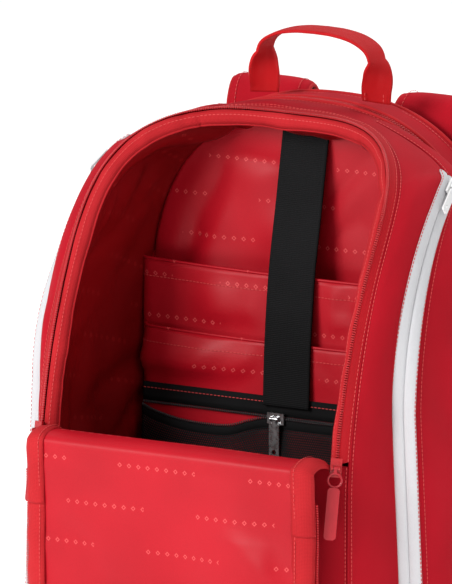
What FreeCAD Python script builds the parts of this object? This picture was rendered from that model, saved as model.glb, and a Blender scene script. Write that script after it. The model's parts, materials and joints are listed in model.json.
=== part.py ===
"""Racket tournament backpack, modelled standing on its base with the front flap folded down.

Units are millimetres. +X is the viewer's right when facing the front, +Y runs towards the
wearer's back and +Z is up. The origin is the centre of the contact face of the base panel.
Each function below makes one sewn piece or one zip part; build_all() writes one STEP per node.
"""
import FreeCAD, Part
import math
import os

V = FreeCAD.Vector

# ---- driving dimensions -------------------------------------------------------------------
BASE_THICK = 6.0          # stiffened base panel
WALL_FOOT = 6.4           # lowest edge of the walls, just above the base panel
SEAM_Y = 60.0             # plane of the racket compartment zip
BACK_Y = 106.0            # outer face of the back panel
FABRIC = 2.0              # outer fabric with its thin foam backing
LINING = 1.2              # single layer of lining

SEAM_HALF = 156.0         # half width of the rear outline
SEAM_SHOULDER = 300.0     # height where the rear outline starts to arch
SEAM_RISE = 180.0         # rise of that arch
SEAM_POWER = 2.4          # squareness of that arch

RIM_HALF = 134.5          # half width of the main opening
RIM_SHOULDER = 368.0
RIM_RISE = 110.0
RIM_POWER = 3.8
RIM_TOP_Y = 30.0          # how far back the rim reaches at the top
RIM_DEPTH = 170.0         # from there forward to the foremost rim point
RIM_LEAN_Z = 200.0        # the rim is upright below this height
RIM_LEAN_POWER = 1.75
RIM_TUCK = 12.0           # how far the front draws in towards the base

ZIP_HALF = 174.0          # half width at the side zip where its bend begins
ZIP_Y = -86.0
ZIP_BEND_Z = 270.0        # the side zip is straight below this height
ZIP_RADIUS = 185.0        # and follows this arc above it
ZIP_SWEEP = 62.0          # degrees of arc
ZIP_NORMAL = V(0.986, 0.158, 0.044)   # plane of the right side zip

FOLD_Z = 232.0            # height where the flap is sewn on
FOLD_Y = -155.5           # centre of the soft roll at the fold
FLAP_SPLITS = (320.0, 425.0)          # heights where the closed flap bends
FLAP_SLOT = 2.4           # slot between two flap sections
FLAP_TURNS = (194.5, 13.0, -53.0)     # degrees from closed to open at the fold and at each bend
FLAP_TOP_Z = 478.0
FLAP_ZIP_FROM = 250.0     # the flap's zip starts above the parked sliders
FLAP_THICK = 3.0

POCKET_TOP = 318.0        # the side pocket's panel opens below this height
SIDE_BULGE = 26.0         # how far the side panel stands out between its seams
ZIP_TAIL = 12.0           # how far the side zip's tapes run on past their slider
SEAM_TOP_SHARE = 0.862    # where the seam above the side zip ends, as a share of the guide's length
SEAM_GAP = 1.0            # from that seam's line to the fabric on either side
FOLD_SHARE = 0.372        # where the main zip begins, as a share of the rim
FRONT_CROWN = 5.0         # how much further the fixed front bulges at its foot
FRONT_CORNER = 11.0       # how far it stands in front of the strips that it joins

TAPE = 9.0                # width of each half of a zip tape
TEETH = 2.4               # width and height of one row of teeth
MATE_GAP = 2.4            # between the rim and the closed flap
SIDE_GAP = 1.7            # from the side zip's centre line to its teeth

GUSSET_Y = 71.6           # front edge of the racket compartment's gusset
SHELL_FOOT = 0.6          # its height over the ground
POCKET_FOOT = 7.0
SLEEVE_TOP = 345.0        # top edge of the laptop sleeve
SLIP_TOP = 291.0          # and of the slip pocket in front of it
STRAP_HALF = 21.0         # half width of the elastic strap
WEBBING = 25.0            # width of the handle and strap webbing
MESH_SLIDER_X = -9.0
RACKET_SLIDER_Z = (196.0, 237.0)


TINY = 1e-6               # keeps a division away from zero

# ---- vector helpers -------------------------------------------------------------------------
def unit(v):
    return v * (1.0 / v.Length)


def mirrored(points):
    return [V(-p.x, p.y, p.z) for p in points]


def length(points):
    return sum((q - p).Length for p, q in zip(points, points[1:]))


def resample(points, fractions):
    """Points at the given shares of a polyline's length."""
    lengths = [0.0]
    for a, b in zip(points, points[1:]):
        lengths.append(lengths[-1] + (b - a).Length)
    found = []
    for share in fractions:
        target = share * lengths[-1]
        i = 0
        while i < len(points) - 2 and lengths[i + 1] < target:
            i += 1
        span = max(lengths[i + 1] - lengths[i], TINY)
        found.append(points[i] + (points[i + 1] - points[i]) * ((target - lengths[i]) / span))
    return found


def arch_point(half, shoulder, rise, power, angle):
    """A point (x, z) of the arched outline; angle 0 is its shoulder and pi/2 its crown."""
    c, s = max(math.cos(angle), 0.0), max(math.sin(angle), 0.0)
    return half * c ** (2.0 / power), shoulder + rise * s ** (2.0 / power)


def rim_y(z):
    """Depth of the main opening's rim at height z."""
    if z <= RIM_LEAN_Z:
        down = max(0.0, (RIM_LEAN_Z * 0.6 - z) / (RIM_LEAN_Z * 0.6))
        return RIM_TOP_Y - RIM_DEPTH + RIM_TUCK * down * down
    top = RIM_SHOULDER + RIM_RISE
    share = min(1.0, (z - RIM_LEAN_Z) / (top + 1.0 - RIM_LEAN_Z))
    keep = (1.0 - share ** RIM_LEAN_POWER) ** (1.0 / RIM_LEAN_POWER)
    return RIM_TOP_Y - RIM_DEPTH * keep


# ---- guide curves of the right half, from the base up to the middle of the top ---------------
SAMPLES = 160


def seam_curve(y=SEAM_Y, inset=0.0):
    half = SEAM_HALF - inset
    rise = SEAM_RISE - inset
    side = [V(half, y, WALL_FOOT + (SEAM_SHOULDER - WALL_FOOT) * i / 40.0) for i in range(40)]
    arch = [arch_point(half, SEAM_SHOULDER, rise, SEAM_POWER, math.pi / 2 * i / SAMPLES)
            for i in range(SAMPLES + 1)]
    return side + [V(x, y, z) for x, z in arch]


def rim_curve():
    side = [WALL_FOOT + (RIM_SHOULDER - WALL_FOOT) * i / 60.0 for i in range(60)]
    points = [V(RIM_HALF, rim_y(z), z) for z in side]
    for i in range(SAMPLES + 1):
        x, z = arch_point(RIM_HALF, RIM_SHOULDER, RIM_RISE, RIM_POWER, math.pi / 2 * i / SAMPLES)
        points.append(V(x, rim_y(z), z))
    return points


def zip_frame():
    """Start of the right side zip's bend, its in-plane directions and its arc centre."""
    start = V(ZIP_HALF, ZIP_Y, ZIP_BEND_Z)
    normal = unit(ZIP_NORMAL)
    up = unit(V(0, 0, 1) - normal * normal.z)
    back = unit(up.cross(normal))
    if back.y < 0:
        back = back * -1.0
    return start, up, back, start + back * ZIP_RADIUS


def zip_curve(turn=ZIP_SWEEP):
    """The right side zip from the foot of the wall to its top end."""
    start, up, back, centre = zip_frame()
    drop = (WALL_FOOT - start.z) / up.z
    points = [start + up * (drop * (1 - i / 30.0)) for i in range(30)]
    for i in range(61):
        a = math.radians(turn) * i / 60.0
        points.append(centre - back * (ZIP_RADIUS * math.cos(a)) + up * (ZIP_RADIUS * math.sin(a)))
    return points


PANEL_END = 0.88          # share of the rim and seam curves covered by the side panels


def panel_zip_curve():
    """The side zip's line, carried on past its top end until it meets the top gusset."""
    middle = resample(seam_curve(), [PANEL_END])[0] + resample(rim_curve(), [PANEL_END])[0]
    line = zip_curve()
    end = middle * 0.5 + V(0, 0, 4)
    ahead = line[-1] + unit(line[-1] - line[-2]) * 30.0
    bend = [line[-1] * ((1 - k) ** 2) + ahead * (2 * k * (1 - k)) + end * (k * k)
            for k in [i / 12.0 for i in range(1, 13)]]
    return line + bend


def surface_curve(inset):
    """The right half of a line on the closed flap's surface, this far inside the rim."""
    half, rise = RIM_HALF - inset, RIM_RISE - 0.28 * inset
    side = [FOLD_Z + (RIM_SHOULDER - FOLD_Z) * i / 40.0 for i in range(40)]
    points = [V(half, rim_y(z), z) for z in side]
    for i in range(SAMPLES + 1):
        x, z = arch_point(half, RIM_SHOULDER, rise, RIM_POWER, math.pi / 2 * i / SAMPLES)
        points.append(V(x, rim_y(z), z))
    return points


# ---- solid makers -----------------------------------------------------------------------------
def loft(rings, ruled=False):
    """A closed solid through planar rings of points."""
    wires = [Part.makePolygon(ring + [ring[0]]) for ring in rings]
    shape = Part.makeLoft(wires, True, ruled)
    if shape.Volume < 0:
        shape.reverse()
    return shape


BOW_STEPS = [0.0, 0.16, 0.33, 0.5, 0.67, 0.84, 1.0]
FLAT_BOW_STEPS = [0.0, 0.025, 0.06, 0.11, 0.2, 0.35, 0.5, 0.65, 0.8, 0.89, 0.94, 0.975, 1.0]


def strip_rings(first, second, outward, thick, crown=0.0, lift=0.0, power=2.0):
    """Rings across the band between two guide curves, each bowed outward by crown.

    first and second are equally long lists of points, outward a point that the band's inner
    side faces, thick the band's thickness and lift the height of its outer side over the
    guide curves. power 2 gives a round bow and a higher power a flatter one.
    """
    rings = []
    last = len(first) - 1
    for i, (a, b) in enumerate(zip(first, second)):
        before, after = max(i - 1, 0), min(i + 1, last)
        along = unit((first[after] - first[before]) + (second[after] - second[before]))
        across = b - a
        normal = unit(across.cross(along))
        middle = (a + b) * 0.5
        if normal.dot(middle - outward) < 0:
            normal = normal * -1.0
        bow = crown[i] if isinstance(crown, list) else crown
        stops = [0.0, 1.0] if not bow else BOW_STEPS if power <= 2.0 else FLAT_BOW_STEPS
        outer = [a + across * k + normal * (lift + bow * (1.0 - abs(2 * k - 1) ** power)) for k in stops]
        inner = [p - normal * thick for p in outer]
        rings.append(outer + inner[::-1])
    return rings


def steps(start, end, count):
    return [start + (end - start) * i / (count - 1.0) for i in range(count)]


def mirror_x(shape):
    return shape.mirror(V(0, 0, 0), V(1, 0, 0))


def box(x0, x1, y0, y1, z0, z1):
    return Part.makeBox(x1 - x0, y1 - y0, z1 - z0, V(x0, y0, z0))


def both_sides(name, shape, made):
    """Stores a right-hand solid and its mirror image."""
    made[name + "_right"] = shape
    made[name + "_left"] = mirror_x(shape)


def above_foot(shape):
    """Trims what a tilted lowest ring leaves below the walls' foot."""
    return shape.common(box(-250, 250, -300, 300, WALL_FOOT, 600))


INSIDE = V(0, 0, 240)     # a point inside the bag, which inner faces look towards


# ---- shared guide lines -----------------------------------------------------------------------
def toward(starts, ends, distance):
    """Points moved from each start towards its end by a distance."""
    return [p + unit(q - p) * distance for p, q in zip(starts, ends)]


def arch_wire(y, inset, foot, count=22):
    """The closed outline of the rear arch at depth y, drawn in by inset, standing at foot."""
    curve = [p for p in seam_curve(y, inset) if p.z > foot + 2.0]
    right = resample([V(curve[0].x, y, foot)] + curve, steps(0, 1, count))
    return Part.makePolygon(right + mirrored(right[:-1])[::-1] + [right[0]])


def arch_plate(y0, y1, inset, foot):
    return Part.Face(arch_wire(y0, inset, foot)).extrude(V(0, y1 - y0, 0))


def outer_guide(shares):
    """Points out from the rim at the given shares: the side zip, and over the top the seam."""
    side = resample(panel_zip_curve(), [min(s, PANEL_END) / PANEL_END for s in shares])
    top = resample(seam_curve(), shares)
    return [top[i] if s > PANEL_END else side[i] for i, s in enumerate(shares)]


# ---- main compartment -------------------------------------------------------------------------
RIM_BAND = TAPE + TEETH + 0.6     # rim to fabric, across one half of the main zip
SIDE_BAND = TAPE + TEETH + 2.8    # side zip's centre line to fabric


def side_walls(made):
    """Side pocket panel, shoulder panel, front strip and inner wall on each side."""
    shares = steps(0.0, PANEL_END, 13)
    rim = resample(rim_curve(), shares)
    zip_line = outer_guide(shares)
    fade = [1.0 - max(0.0, (s - 0.7) / (PANEL_END - 0.7)) for s in shares]
    front = toward(zip_line, rim, SIDE_BAND)
    back = toward(rim, zip_line, RIM_BAND)
    strip = loft(strip_rings(front, back, INSIDE, 3.0, [4.0 * f + 0.3 for f in fade]))
    both_sides("front_strip", Part.makeCompound([above_foot(strip), seam_fill(zip_to_rim)]), made)
    seam = resample(seam_curve(), shares)
    core = [V(0, (p.y + q.y) / 2, min(p.z, 380)) for p, q in zip(seam, rim)]
    wall = loft(strip_rings(toward(seam, core, 6.0), toward(zip_line, core, 10.0), INSIDE, LINING))
    both_sides("inner_wall", wall, made)
    both_sides("side_panel", side_panel(steps(0.0, pocket_share(), 8)), made)
    shoulder = side_panel(steps(pocket_share() + 0.0012, PANEL_END, 7))
    both_sides("shoulder_panel", Part.makeCompound([shoulder, seam_fill(zip_to_seam)]), made)


def pocket_share():
    """The share of the rear seam's length below the side pocket's top."""
    return (POCKET_TOP - WALL_FOOT) / length(seam_curve())


def zip_top_share():
    """Where the side zip's tapes end, just past the slider, as a share of the outer guide."""
    return PANEL_END * (length(zip_curve()) + ZIP_TAIL) / length(panel_zip_curve())


def seam_fill(guides):
    """Fabric that carries a panel on to the seam above the side zip's end."""
    line, other = guides(steps(zip_top_share() + 0.009, SEAM_TOP_SHARE, 7))
    inner, outer = toward(line, other, SEAM_GAP), toward(line, other, SIDE_BAND - 0.2)
    return loft(strip_rings(inner, outer, INSIDE, 1.4))


def zip_to_rim(shares):
    return outer_guide(shares), resample(rim_curve(), shares)


def zip_to_seam(shares):
    return outer_guide(shares), resample(seam_curve(), shares)


def side_panel(shares):
    """Part of the bulging side panel, between the side zip and the rear seam."""
    zip_line = outer_guide(shares)
    seam = resample(seam_curve(), shares)
    bulge = [SIDE_BULGE * (1.0 - max(0.0, (s - 0.6) / (PANEL_END - 0.6))) + 1.0 for s in shares]
    rear, front = toward(seam, zip_line, 1.0), toward(zip_line, seam, SIDE_BAND)
    return loft(strip_rings(rear, front, INSIDE, FABRIC, bulge))


def zip_half(shares, guides, gap, thick=1.2, teeth=TEETH):
    """Tape and teeth of one half of a zip running along guides[0], reaching towards guides[1]."""
    line, other = guides(shares)
    tape = loft(strip_rings(toward(line, other, gap + teeth + 0.1),
                            toward(line, other, gap + teeth + TAPE - 0.3), INSIDE, thick))
    row = loft(strip_rings(toward(line, other, gap), toward(line, other, gap + teeth),
                           INSIDE, teeth, lift=0.6))
    return tape, row


def side_zips(made):
    """The two halves of each side pocket's zip."""
    share, top = pocket_share(), zip_top_share()
    shares = [s for s in steps(0.0, PANEL_END, 13) if s < top - 0.03] + [top]
    front = Part.makeCompound(zip_half(shares, zip_to_rim, SIDE_GAP))
    lower = Part.makeCompound(zip_half(steps(0.0, share, 8), zip_to_seam, SIDE_GAP))
    upper = Part.makeCompound(zip_half(steps(share + 0.0012, top, 7), zip_to_seam, SIDE_GAP))
    both_sides("side_zip_front", front, made)
    both_sides("side_zip_rear", lower, made)
    both_sides("side_zip_shoulder", upper, made)


def top_gusset(made):
    """The band over the top between the main zip and the racket compartment zip."""
    shares = steps(PANEL_END + 0.004, 1.0, 7)
    seam, rim = resample(seam_curve(), shares), resample(rim_curve(), shares)
    edge = toward(rim, seam, RIM_BAND)
    seam = seam[:-1] + mirrored(seam)[::-1]
    edge = edge[:-1] + mirrored(edge)[::-1]
    made["top_gusset"] = loft(strip_rings(seam, edge, INSIDE, 3.0, 2.0))


def main_zip(made):
    """The body's half of the main zip, up one side, over the top and down the other."""
    shares = steps(FOLD_SHARE, 1.0, 19)
    line, other = resample(rim_curve(), shares), outer_guide(shares)
    line = mirrored(line)[:-1] + line[::-1]
    other = mirrored(other)[:-1] + other[::-1]
    tape, row = zip_half(shares, lambda _: (line, other), 0.0)
    made["main_zip_tape"] = tape
    made["main_zip_teeth"] = row


def front_panel(made):
    """The fixed lower front, below the fold."""
    shares = steps(0.0, FOLD_SHARE - 0.004, 7)
    right = toward(resample(rim_curve(), shares), outer_guide(shares), RIM_BAND - 3.6)
    crown = [FRONT_CROWN * (1 - i / 6.0) + FRONT_CORNER for i in range(7)]
    panel = loft(strip_rings(mirrored(right), right, INSIDE, 3.0, crown, power=6.0))
    made["front_lower_panel"] = above_foot(panel)


def base(made):
    """Stiff base panel with rounded corners, inside the walls' foot line."""
    half = [V(0, RIM_TOP_Y - RIM_DEPTH - 8.0, 0), V(90, -143, 0), V(136, -129, 0), V(166, -109, 0),
            V(184, -84, 0), V(192, -40, 0), V(186, 10, 0), V(155, 58, 0)]
    edge = half + mirrored(half[1:])[::-1]
    made["base_panel"] = Part.Face(Part.makePolygon(edge + [edge[0]])).extrude(V(0, 0, BASE_THICK))


# ---- front flap ---------------------------------------------------------------------------------
def flap_half(inset, z_from, z_to):
    """Points of the closed flap's right side between two heights, at an inset from the rim."""
    curve = surface_curve(inset)
    inside = [p for p in curve if z_from - 1e-6 <= p.z <= z_to + 1e-6]
    return resample(inside, steps(0, 1, 7))


def flap_sheet(z_from, z_to, crowns):
    """The flap's padded fabric between two heights, closed."""
    right = flap_half(RIM_BAND + MATE_GAP + 0.5, z_from, z_to)
    return loft(strip_rings(mirrored(right), right, INSIDE, FLAP_THICK, crowns))


def flap_zip(z_from, z_to):
    """The flap's half of the main zip beside one of its sections, closed."""
    if z_to < FLAP_TOP_Z:
        line, inner = flap_half(MATE_GAP, z_from, z_to), flap_half(40.0, z_from, z_to)
        tape, row = zip_half(None, lambda _: (line, inner), 0.0)
        return Part.makeCompound([tape, row, mirror_x(tape), mirror_x(row)])
    outer = [p for p in surface_curve(MATE_GAP) if p.z >= z_from]
    inner = [p for p in surface_curve(40.0) if p.z >= z_from]
    outer, inner = resample(outer, steps(0, 1, 12)), resample(inner, steps(0, 1, 12))
    line = mirrored(outer)[:-1] + outer[::-1]
    other = mirrored(inner)[:-1] + inner[::-1]
    return Part.makeCompound(zip_half(None, lambda _: (line, other), 0.0))


def turned(shape, pivot_y, pivot_z, degrees):
    made = shape.copy()
    made.rotate(V(0, pivot_y, pivot_z), V(1, 0, 0), degrees)
    return made


def flap(made):
    """Three hinged sections of the flap with their zip halves, turned down to the open rest pose."""
    panel_top = RIM_SHOULDER + RIM_RISE - 0.28 * (RIM_BAND + MATE_GAP) - 2.5
    cut = FLAP_SLOT / 2
    lower_crowns = [1.0, 2.0, 3.0, 3.0, 3.0, 3.0, 3.0]
    middle_crowns = [3.0, 3.0, 2.5, 2.0, 1.5, 0.8, 0.3]
    sections = [("flap_lower", FOLD_Z + 5.0, FLAP_SPLITS[0] - cut, lower_crowns),
                ("flap_middle", FLAP_SPLITS[0] + cut, FLAP_SPLITS[1] - cut, middle_crowns),
                ("flap_upper", FLAP_SPLITS[1] + cut, panel_top, [0.3] * 7)]
    pivots = [(FOLD_Y, FOLD_Z), flap_pivot(FLAP_SPLITS[0]), flap_pivot(FLAP_SPLITS[1])]
    for i, (name, z_from, z_to, crowns) in enumerate(sections):
        zip_from = max(z_from, FLAP_ZIP_FROM)
        pieces = {"_panel": flap_sheet(z_from, z_to, crowns),
                  "_zip": flap_zip(zip_from, z_to if i < 2 else FLAP_TOP_Z)}
        for suffix, shape in pieces.items():
            for k in range(i, -1, -1):
                shape = turned(shape, pivots[k][0], pivots[k][1], FLAP_TURNS[k])
            made[name + suffix] = shape


def flap_pivot(z):
    """The bend line between two flap sections while closed, at mid-thickness."""
    return rim_y(z) + FLAP_THICK * 0.4, z


# ---- racket compartment -------------------------------------------------------------------------
def racket_zip(made):
    """Both halves of the racket compartment zip, along the rear seam on both sides and over the top."""
    def band(y0, y1, rise, thick):
        outer = Part.Face(arch_wire(y0, -rise, WALL_FOOT)).extrude(V(0, y1 - y0, 0))
        inner = Part.Face(arch_wire(y0 - 1, thick - rise, WALL_FOOT - 1)).extrude(V(0, y1 - y0 + 2, 0))
        return outer.cut(inner)

    front = [band(SEAM_Y + 0.5, SEAM_Y + 3.4, 0.0, 1.4), band(SEAM_Y + 3.5, SEAM_Y + 5.7, 0.8, 2.4)]
    rear = [band(SEAM_Y + 6.3, SEAM_Y + 8.5, 0.8, 2.4), band(SEAM_Y + 8.6, SEAM_Y + 11.4, 0.0, 1.4)]
    made["racket_zip_front"] = Part.makeCompound(front)
    made["racket_zip_rear"] = Part.makeCompound(rear)


def rear_shell(made):
    """Gusset, back panel and back pads of the racket compartment."""
    outer = arch_plate(GUSSET_Y, BACK_Y - 3.2, 0.0, SHELL_FOOT)
    inner = arch_plate(GUSSET_Y - 1, BACK_Y, 2.6, SHELL_FOOT + 2.6)
    made["rear_gusset"] = outer.cut(inner)
    made["back_panel"] = arch_plate(BACK_Y - 3.0, BACK_Y, 0.0, SHELL_FOOT)
    pad = box(20, 104, BACK_Y + 0.2, BACK_Y + 10.0, 60, 400)
    pad = pad.makeFillet(9.5, [e for e in pad.Edges if e.BoundBox.ZLength < 1 and e.BoundBox.XLength < 1])
    made["back_pads"] = Part.makeCompound([pad, mirror_x(pad)])


# ---- pockets inside -------------------------------------------------------------------------------
def open_box(half, y0, y1, top, wall):
    """A pocket open at its top and at its back, where it is sewn to the panel behind."""
    outer = box(-half, half, y0, y1, POCKET_FOOT, top)
    inner = box(-half + wall, half - wall, y0 + wall, y1 + 1, POCKET_FOOT + wall, top + 1)
    return outer.cut(inner)


def pockets(made):
    """Laptop sleeve, slip pocket and zipped mesh pocket on the divider, and their strap."""
    made["laptop_sleeve"] = open_box(144.0, 30.0, 53.8, SLEEVE_TOP, 3.0)
    made["slip_pocket"] = open_box(138.0, 22.0, 29.8, SLIP_TOP, 1.6)
    made["mesh_zip_upper"] = box(-134, 134, 20.2, 21.8, 229.0, 245.0)
    edge = [(-134, 19.0, 222.0), (-118, 15.0, 218.0), (-88, 10.5, 214.5), (-52, 11.0, 214.5),
            (-34, 15.5, 219.5), (-19, 19.0, 222.8), (10, 19.0, 223.0), (134, 19.0, 223.0)]
    tape = [[V(x, y, z + 5.4), V(x, y + 1.6, z + 5.4), V(x, y + 1.6, z - 4.0), V(x, y, z - 4.0)]
            for x, y, z in edge]
    made["mesh_zip_lower"] = loft(tape, True)
    sheet = [[V(x, y, z - 4.2), V(x, y + 1.2, z - 4.2), V(x, 12.2 - bow(x), 130.0), V(x, 15.2, POCKET_FOOT),
              V(x, 14.0, POCKET_FOOT), V(x, 11.0 - bow(x), 130.0)] for x, y, z in edge]
    made["mesh_pocket"] = loft(sheet, True)


def bow(x):
    return 3.0 * (1.0 - (x / 134.0) ** 2)


def ribbon(path, half_width, thick):
    """A flat band through points of the YZ plane, its width along X."""
    rings = []
    for i, (x, y, z) in enumerate(path):
        before, after = path[max(i - 1, 0)], path[min(i + 1, len(path) - 1)]
        along = unit(V(*after) - V(*before))
        side = unit(V(1, 0, 0) - along * along.x)
        normal = along.cross(side)
        half, deep = (half_width[i], thick[i]) if isinstance(thick, list) else (half_width, thick)
        middle = V(x, y, z)
        corners = [(half, deep / 2), (half - deep * 0.3, deep / 2), (-half + deep * 0.3, deep / 2),
                   (-half, deep / 2), (-half, -deep / 2), (half, -deep / 2)]
        rings.append([middle + side * a + normal * b for a, b in corners])
    return loft(rings, len(path) < 6)


def elastic(made):
    path = [(0, 51.5, 464.0), (0, 38.0, 400.0), (0, 27.0, 348.0), (0, 20.2, 292.0), (0, 17.2, 238.0)]
    made["elastic_strap"] = ribbon(path, STRAP_HALF, 1.8)


# ---- handle and shoulder straps -------------------------------------------------------------------
def handle(made):
    """The webbing carrying handle, flat to the front where it is sewn and edge-on at the grip."""
    half = [V(50, 73, 481.5), V(50.5, 73, 490), V(53.5, 73, 503), V(54.5, 73, 515), V(49.5, 73, 526.5),
            V(36, 73, 534.5), V(18, 73, 538.2), V(0, 73, 539)]
    path = resample(half + mirrored(half[:-1])[::-1], steps(0, 1, 41))
    rings = []
    for i, p in enumerate(path):
        along = unit(path[min(i + 1, 40)] - path[max(i - 1, 0)])
        share = min(i, 40 - i) / 7.0
        twist = math.radians(90.0 * min(1.0, share) ** 1.3) * (1 if i < 20 else -1)
        flat = unit(V(0, 1, 0).cross(along))
        wide = flat * math.cos(twist) + V(0, 1, 0) * math.sin(twist)
        deep = along.cross(wide)
        a, b = wide * (WEBBING / 2), unit(deep) * 1.2
        rings.append([p + a + b, p - a + b, p - a - b, p + a - b])
    made["handle_webbing"] = loft(rings)


def shoulder_straps(made):
    """Padded straps, ladder locks, lower webbing and its anchors on each side."""
    path = [(75, 114, 449), (75.5, 119, 463), (77, 128, 474), (78, 138, 475), (79, 150, 462),
            (80, 157, 440), (84, 166, 400), (88, 170, 360), (94, 169, 320), (100, 165, 280),
            (106, 158, 245), (109.5, 153, 226), (110.5, 151, 217)]
    halves = [36, 37, 37, 37, 37, 37, 37, 37, 35, 31, 25, 18, 17]
    depths = [4, 8, 11, 12, 12, 12, 12, 12, 12, 12, 10, 6, 4]
    strap = ribbon(path, halves, depths)
    both_sides("shoulder_strap", strap, made)
    lock = Part.makeBox(36, 5, 30, V(-18, -2.5, -34))
    for z in (-12.5, -24.0):
        lock = lock.cut(Part.makeBox(28, 7, 5, V(-14, -3.5, z)))
    lock.rotate(V(0, 0, 0), V(1, 0, 0), -15.0)
    lock.translate(V(111.5, 149.5, 208.5))
    both_sides("ladder_lock", lock, made)
    route = [(130, 110.5, 42), (124, 122, 90), (119, 132, 130), (115.0, 139.0, 166)]
    both_sides("lower_webbing", ribbon(route, WEBBING / 2, 1.8), made)
    wing = Part.Face(Part.makePolygon([V(142, 107.5, 12), V(118, 107.5, 12), V(118, 107.5, 39),
                                       V(142, 107.5, 39), V(142, 107.5, 12)])).extrude(V(0, 3.5, 0))
    wing.translate(V(0, -1.0, 0))
    both_sides("webbing_anchor", wing, made)


# ---- sliders and pulls ------------------------------------------------------------------------------
def placed(shape, at, along, out):
    """Moves a shape built at the origin, with its length on Z and its outside towards -Y."""
    side = (out * -1.0).cross(along)
    m = FreeCAD.Matrix(side.x, -out.x, along.x, at.x, side.y, -out.y, along.y, at.y,
                       side.z, -out.z, along.z, at.z, 0, 0, 0, 1)
    return shape.transformGeometry(m)


def slider_body(turn=False):
    """Slider top plate with two lugs for the pull, lying on Y = 0 and facing -Y."""
    plate = box(-4.6, 4.6, -2.0, 0.0, -7.5, 7.5)
    eye = Part.makeCylinder(1.9, 1.4, V(2.1, -3.7, 0), V(1, 0, 0))
    lug = eye.fuse(box(2.1, 3.5, -3.7, -1.5, -1.9, 1.9))
    lugs = lug.fuse(lug.mirror(V(0, 0, 0), V(1, 0, 0)))
    if turn:
        lugs.rotate(V(0, 0, 0), V(0, 1, 0), 90)
    return plate.fuse(lugs).removeSplitter()


def pull_eye():
    """The pull's barrel between the lugs and a short neck below it."""
    barrel = Part.makeCylinder(1.3, 3.6, V(-1.8, -3.7, 0), V(1, 0, 0))
    return barrel.fuse(box(-1.3, 1.3, -4.5, -2.9, -5.0, 0.0))


def corner_edges(plate):
    """The edges that run through a plate lying across Y, at its four corners."""
    return [e for e in plate.Edges if e.BoundBox.XLength < 0.1 and e.BoundBox.ZLength < 0.1]


def ring_pull():
    """Wire ring and moulded tab hanging below a slider."""
    ring = Part.makeTorus(5.4, 0.9, V(0, -3.7, -9.6), V(0, 1, 0))
    tab = box(-4.8, 4.8, -5.2, -2.2, -57.0, -15.6)
    tab = tab.makeFillet(3.0, corner_edges(tab))
    return pull_eye().fuse(ring).fuse(tab).removeSplitter()


def plate_pull(length=30.0, wide=4.5):
    """Flat cast pull with a round hole near its end."""
    plate = box(-wide, wide, -4.4, -3.0, -length - 3.0, -3.4)
    plate = plate.makeFillet(2.0, corner_edges(plate))
    hole = Part.makeCylinder(wide * 0.45, 4, V(0, -5, -length + 3.0), V(0, 1, 0))
    return pull_eye().fuse(plate).cut(hole).removeSplitter()


def sliders(made):
    """All seven sliders with their pulls."""
    at, along, out = main_slider_frame()
    both_sides("main_slider", placed(slider_body(), at, along, out), made)
    both_sides("main_pull", placed(ring_pull(), at, along, out), made)
    at, along, out = side_slider_frame()
    both_sides("side_slider", placed(slider_body(), at, along, out), made)
    both_sides("side_pull", placed(plate_pull(26.0, 3.6), at, along, out), made)
    at = V(MESH_SLIDER_X, 18.2, 228.0)
    body = placed(slider_body(True), at, V(1, 0, 0), V(0, -1, 0))
    made["mesh_slider"] = body
    made["mesh_pull"] = placed(plate_pull(), at, V(0, 0, 1), V(0, -1, 0))
    for name, z in (("upper", RACKET_SLIDER_Z[1]), ("lower", RACKET_SLIDER_Z[0])):
        at = V(-SEAM_HALF - 1.4, SEAM_Y + 6.0, z)
        made["racket_slider_" + name] = placed(slider_body(), at, V(0, 0, 1), V(-1, 0, 0))
        made["racket_pull_" + name] = placed(plate_pull(26.0, 3.6), at, V(0, 0, 1), V(-1, 0, 0))


def main_slider_frame():
    """Foot point, length direction and outside of the right main slider."""
    a, b = V(RIM_HALF, rim_y(232.0), 232.0), V(RIM_HALF, rim_y(272.0), 272.0)
    along = unit(b - a)
    out = unit(V(0.45, -1.0, 0.0))
    out = unit(out - along * out.dot(along))
    return a + along * 2.0 + out * 2.6, along, out


def side_slider_frame():
    """Foot point, length direction and outside of the right side slider."""
    line = zip_curve()
    along = unit(line[-1] - line[-3])
    shares = [0.70, 0.76]
    rim, seam = resample(rim_curve(), shares)[1], resample(seam_curve(), shares)[1]
    across = unit(seam - rim)
    out = unit(along.cross(across))
    if out.dot(line[-1] - INSIDE) < 0:
        out = out * -1.0
    return line[-1] + out * 2.8, along, out


def build_all():
    made = {}
    side_walls(made)
    side_zips(made)
    top_gusset(made)
    main_zip(made)
    front_panel(made)
    base(made)
    made["divider_panel"] = arch_plate(54.0, 58.0, 9.0, WALL_FOOT)
    flap(made)
    racket_zip(made)
    rear_shell(made)
    pockets(made)
    elastic(made)
    handle(made)
    shoulder_straps(made)
    sliders(made)
    return made


def write_parts(made):
    os.makedirs("parts", exist_ok=True)
    for node, shape in made.items():
        if not shape.isValid():
            print("not valid:", node)
        shape.exportStep("parts/" + node + ".step")


write_parts(build_all())
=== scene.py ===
"""Racket backpack standing open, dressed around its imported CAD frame.

Sizes are in millimetres and are turned into metres where a mesh is made. +X is the viewer's
right, +Y runs to the wearer's back and +Z is up. The CAD frame carries the joints; most of the
sewn CAD solids are replaced here by fabric sheets, coil zips, stitching and piping.
"""
from __future__ import annotations

import json
import logging
import math
from dataclasses import dataclass, field
from enum import Enum
from typing import Any, Iterable, Sequence

import bpy
import numpy as np
from mathutils import Matrix, Vector

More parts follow.
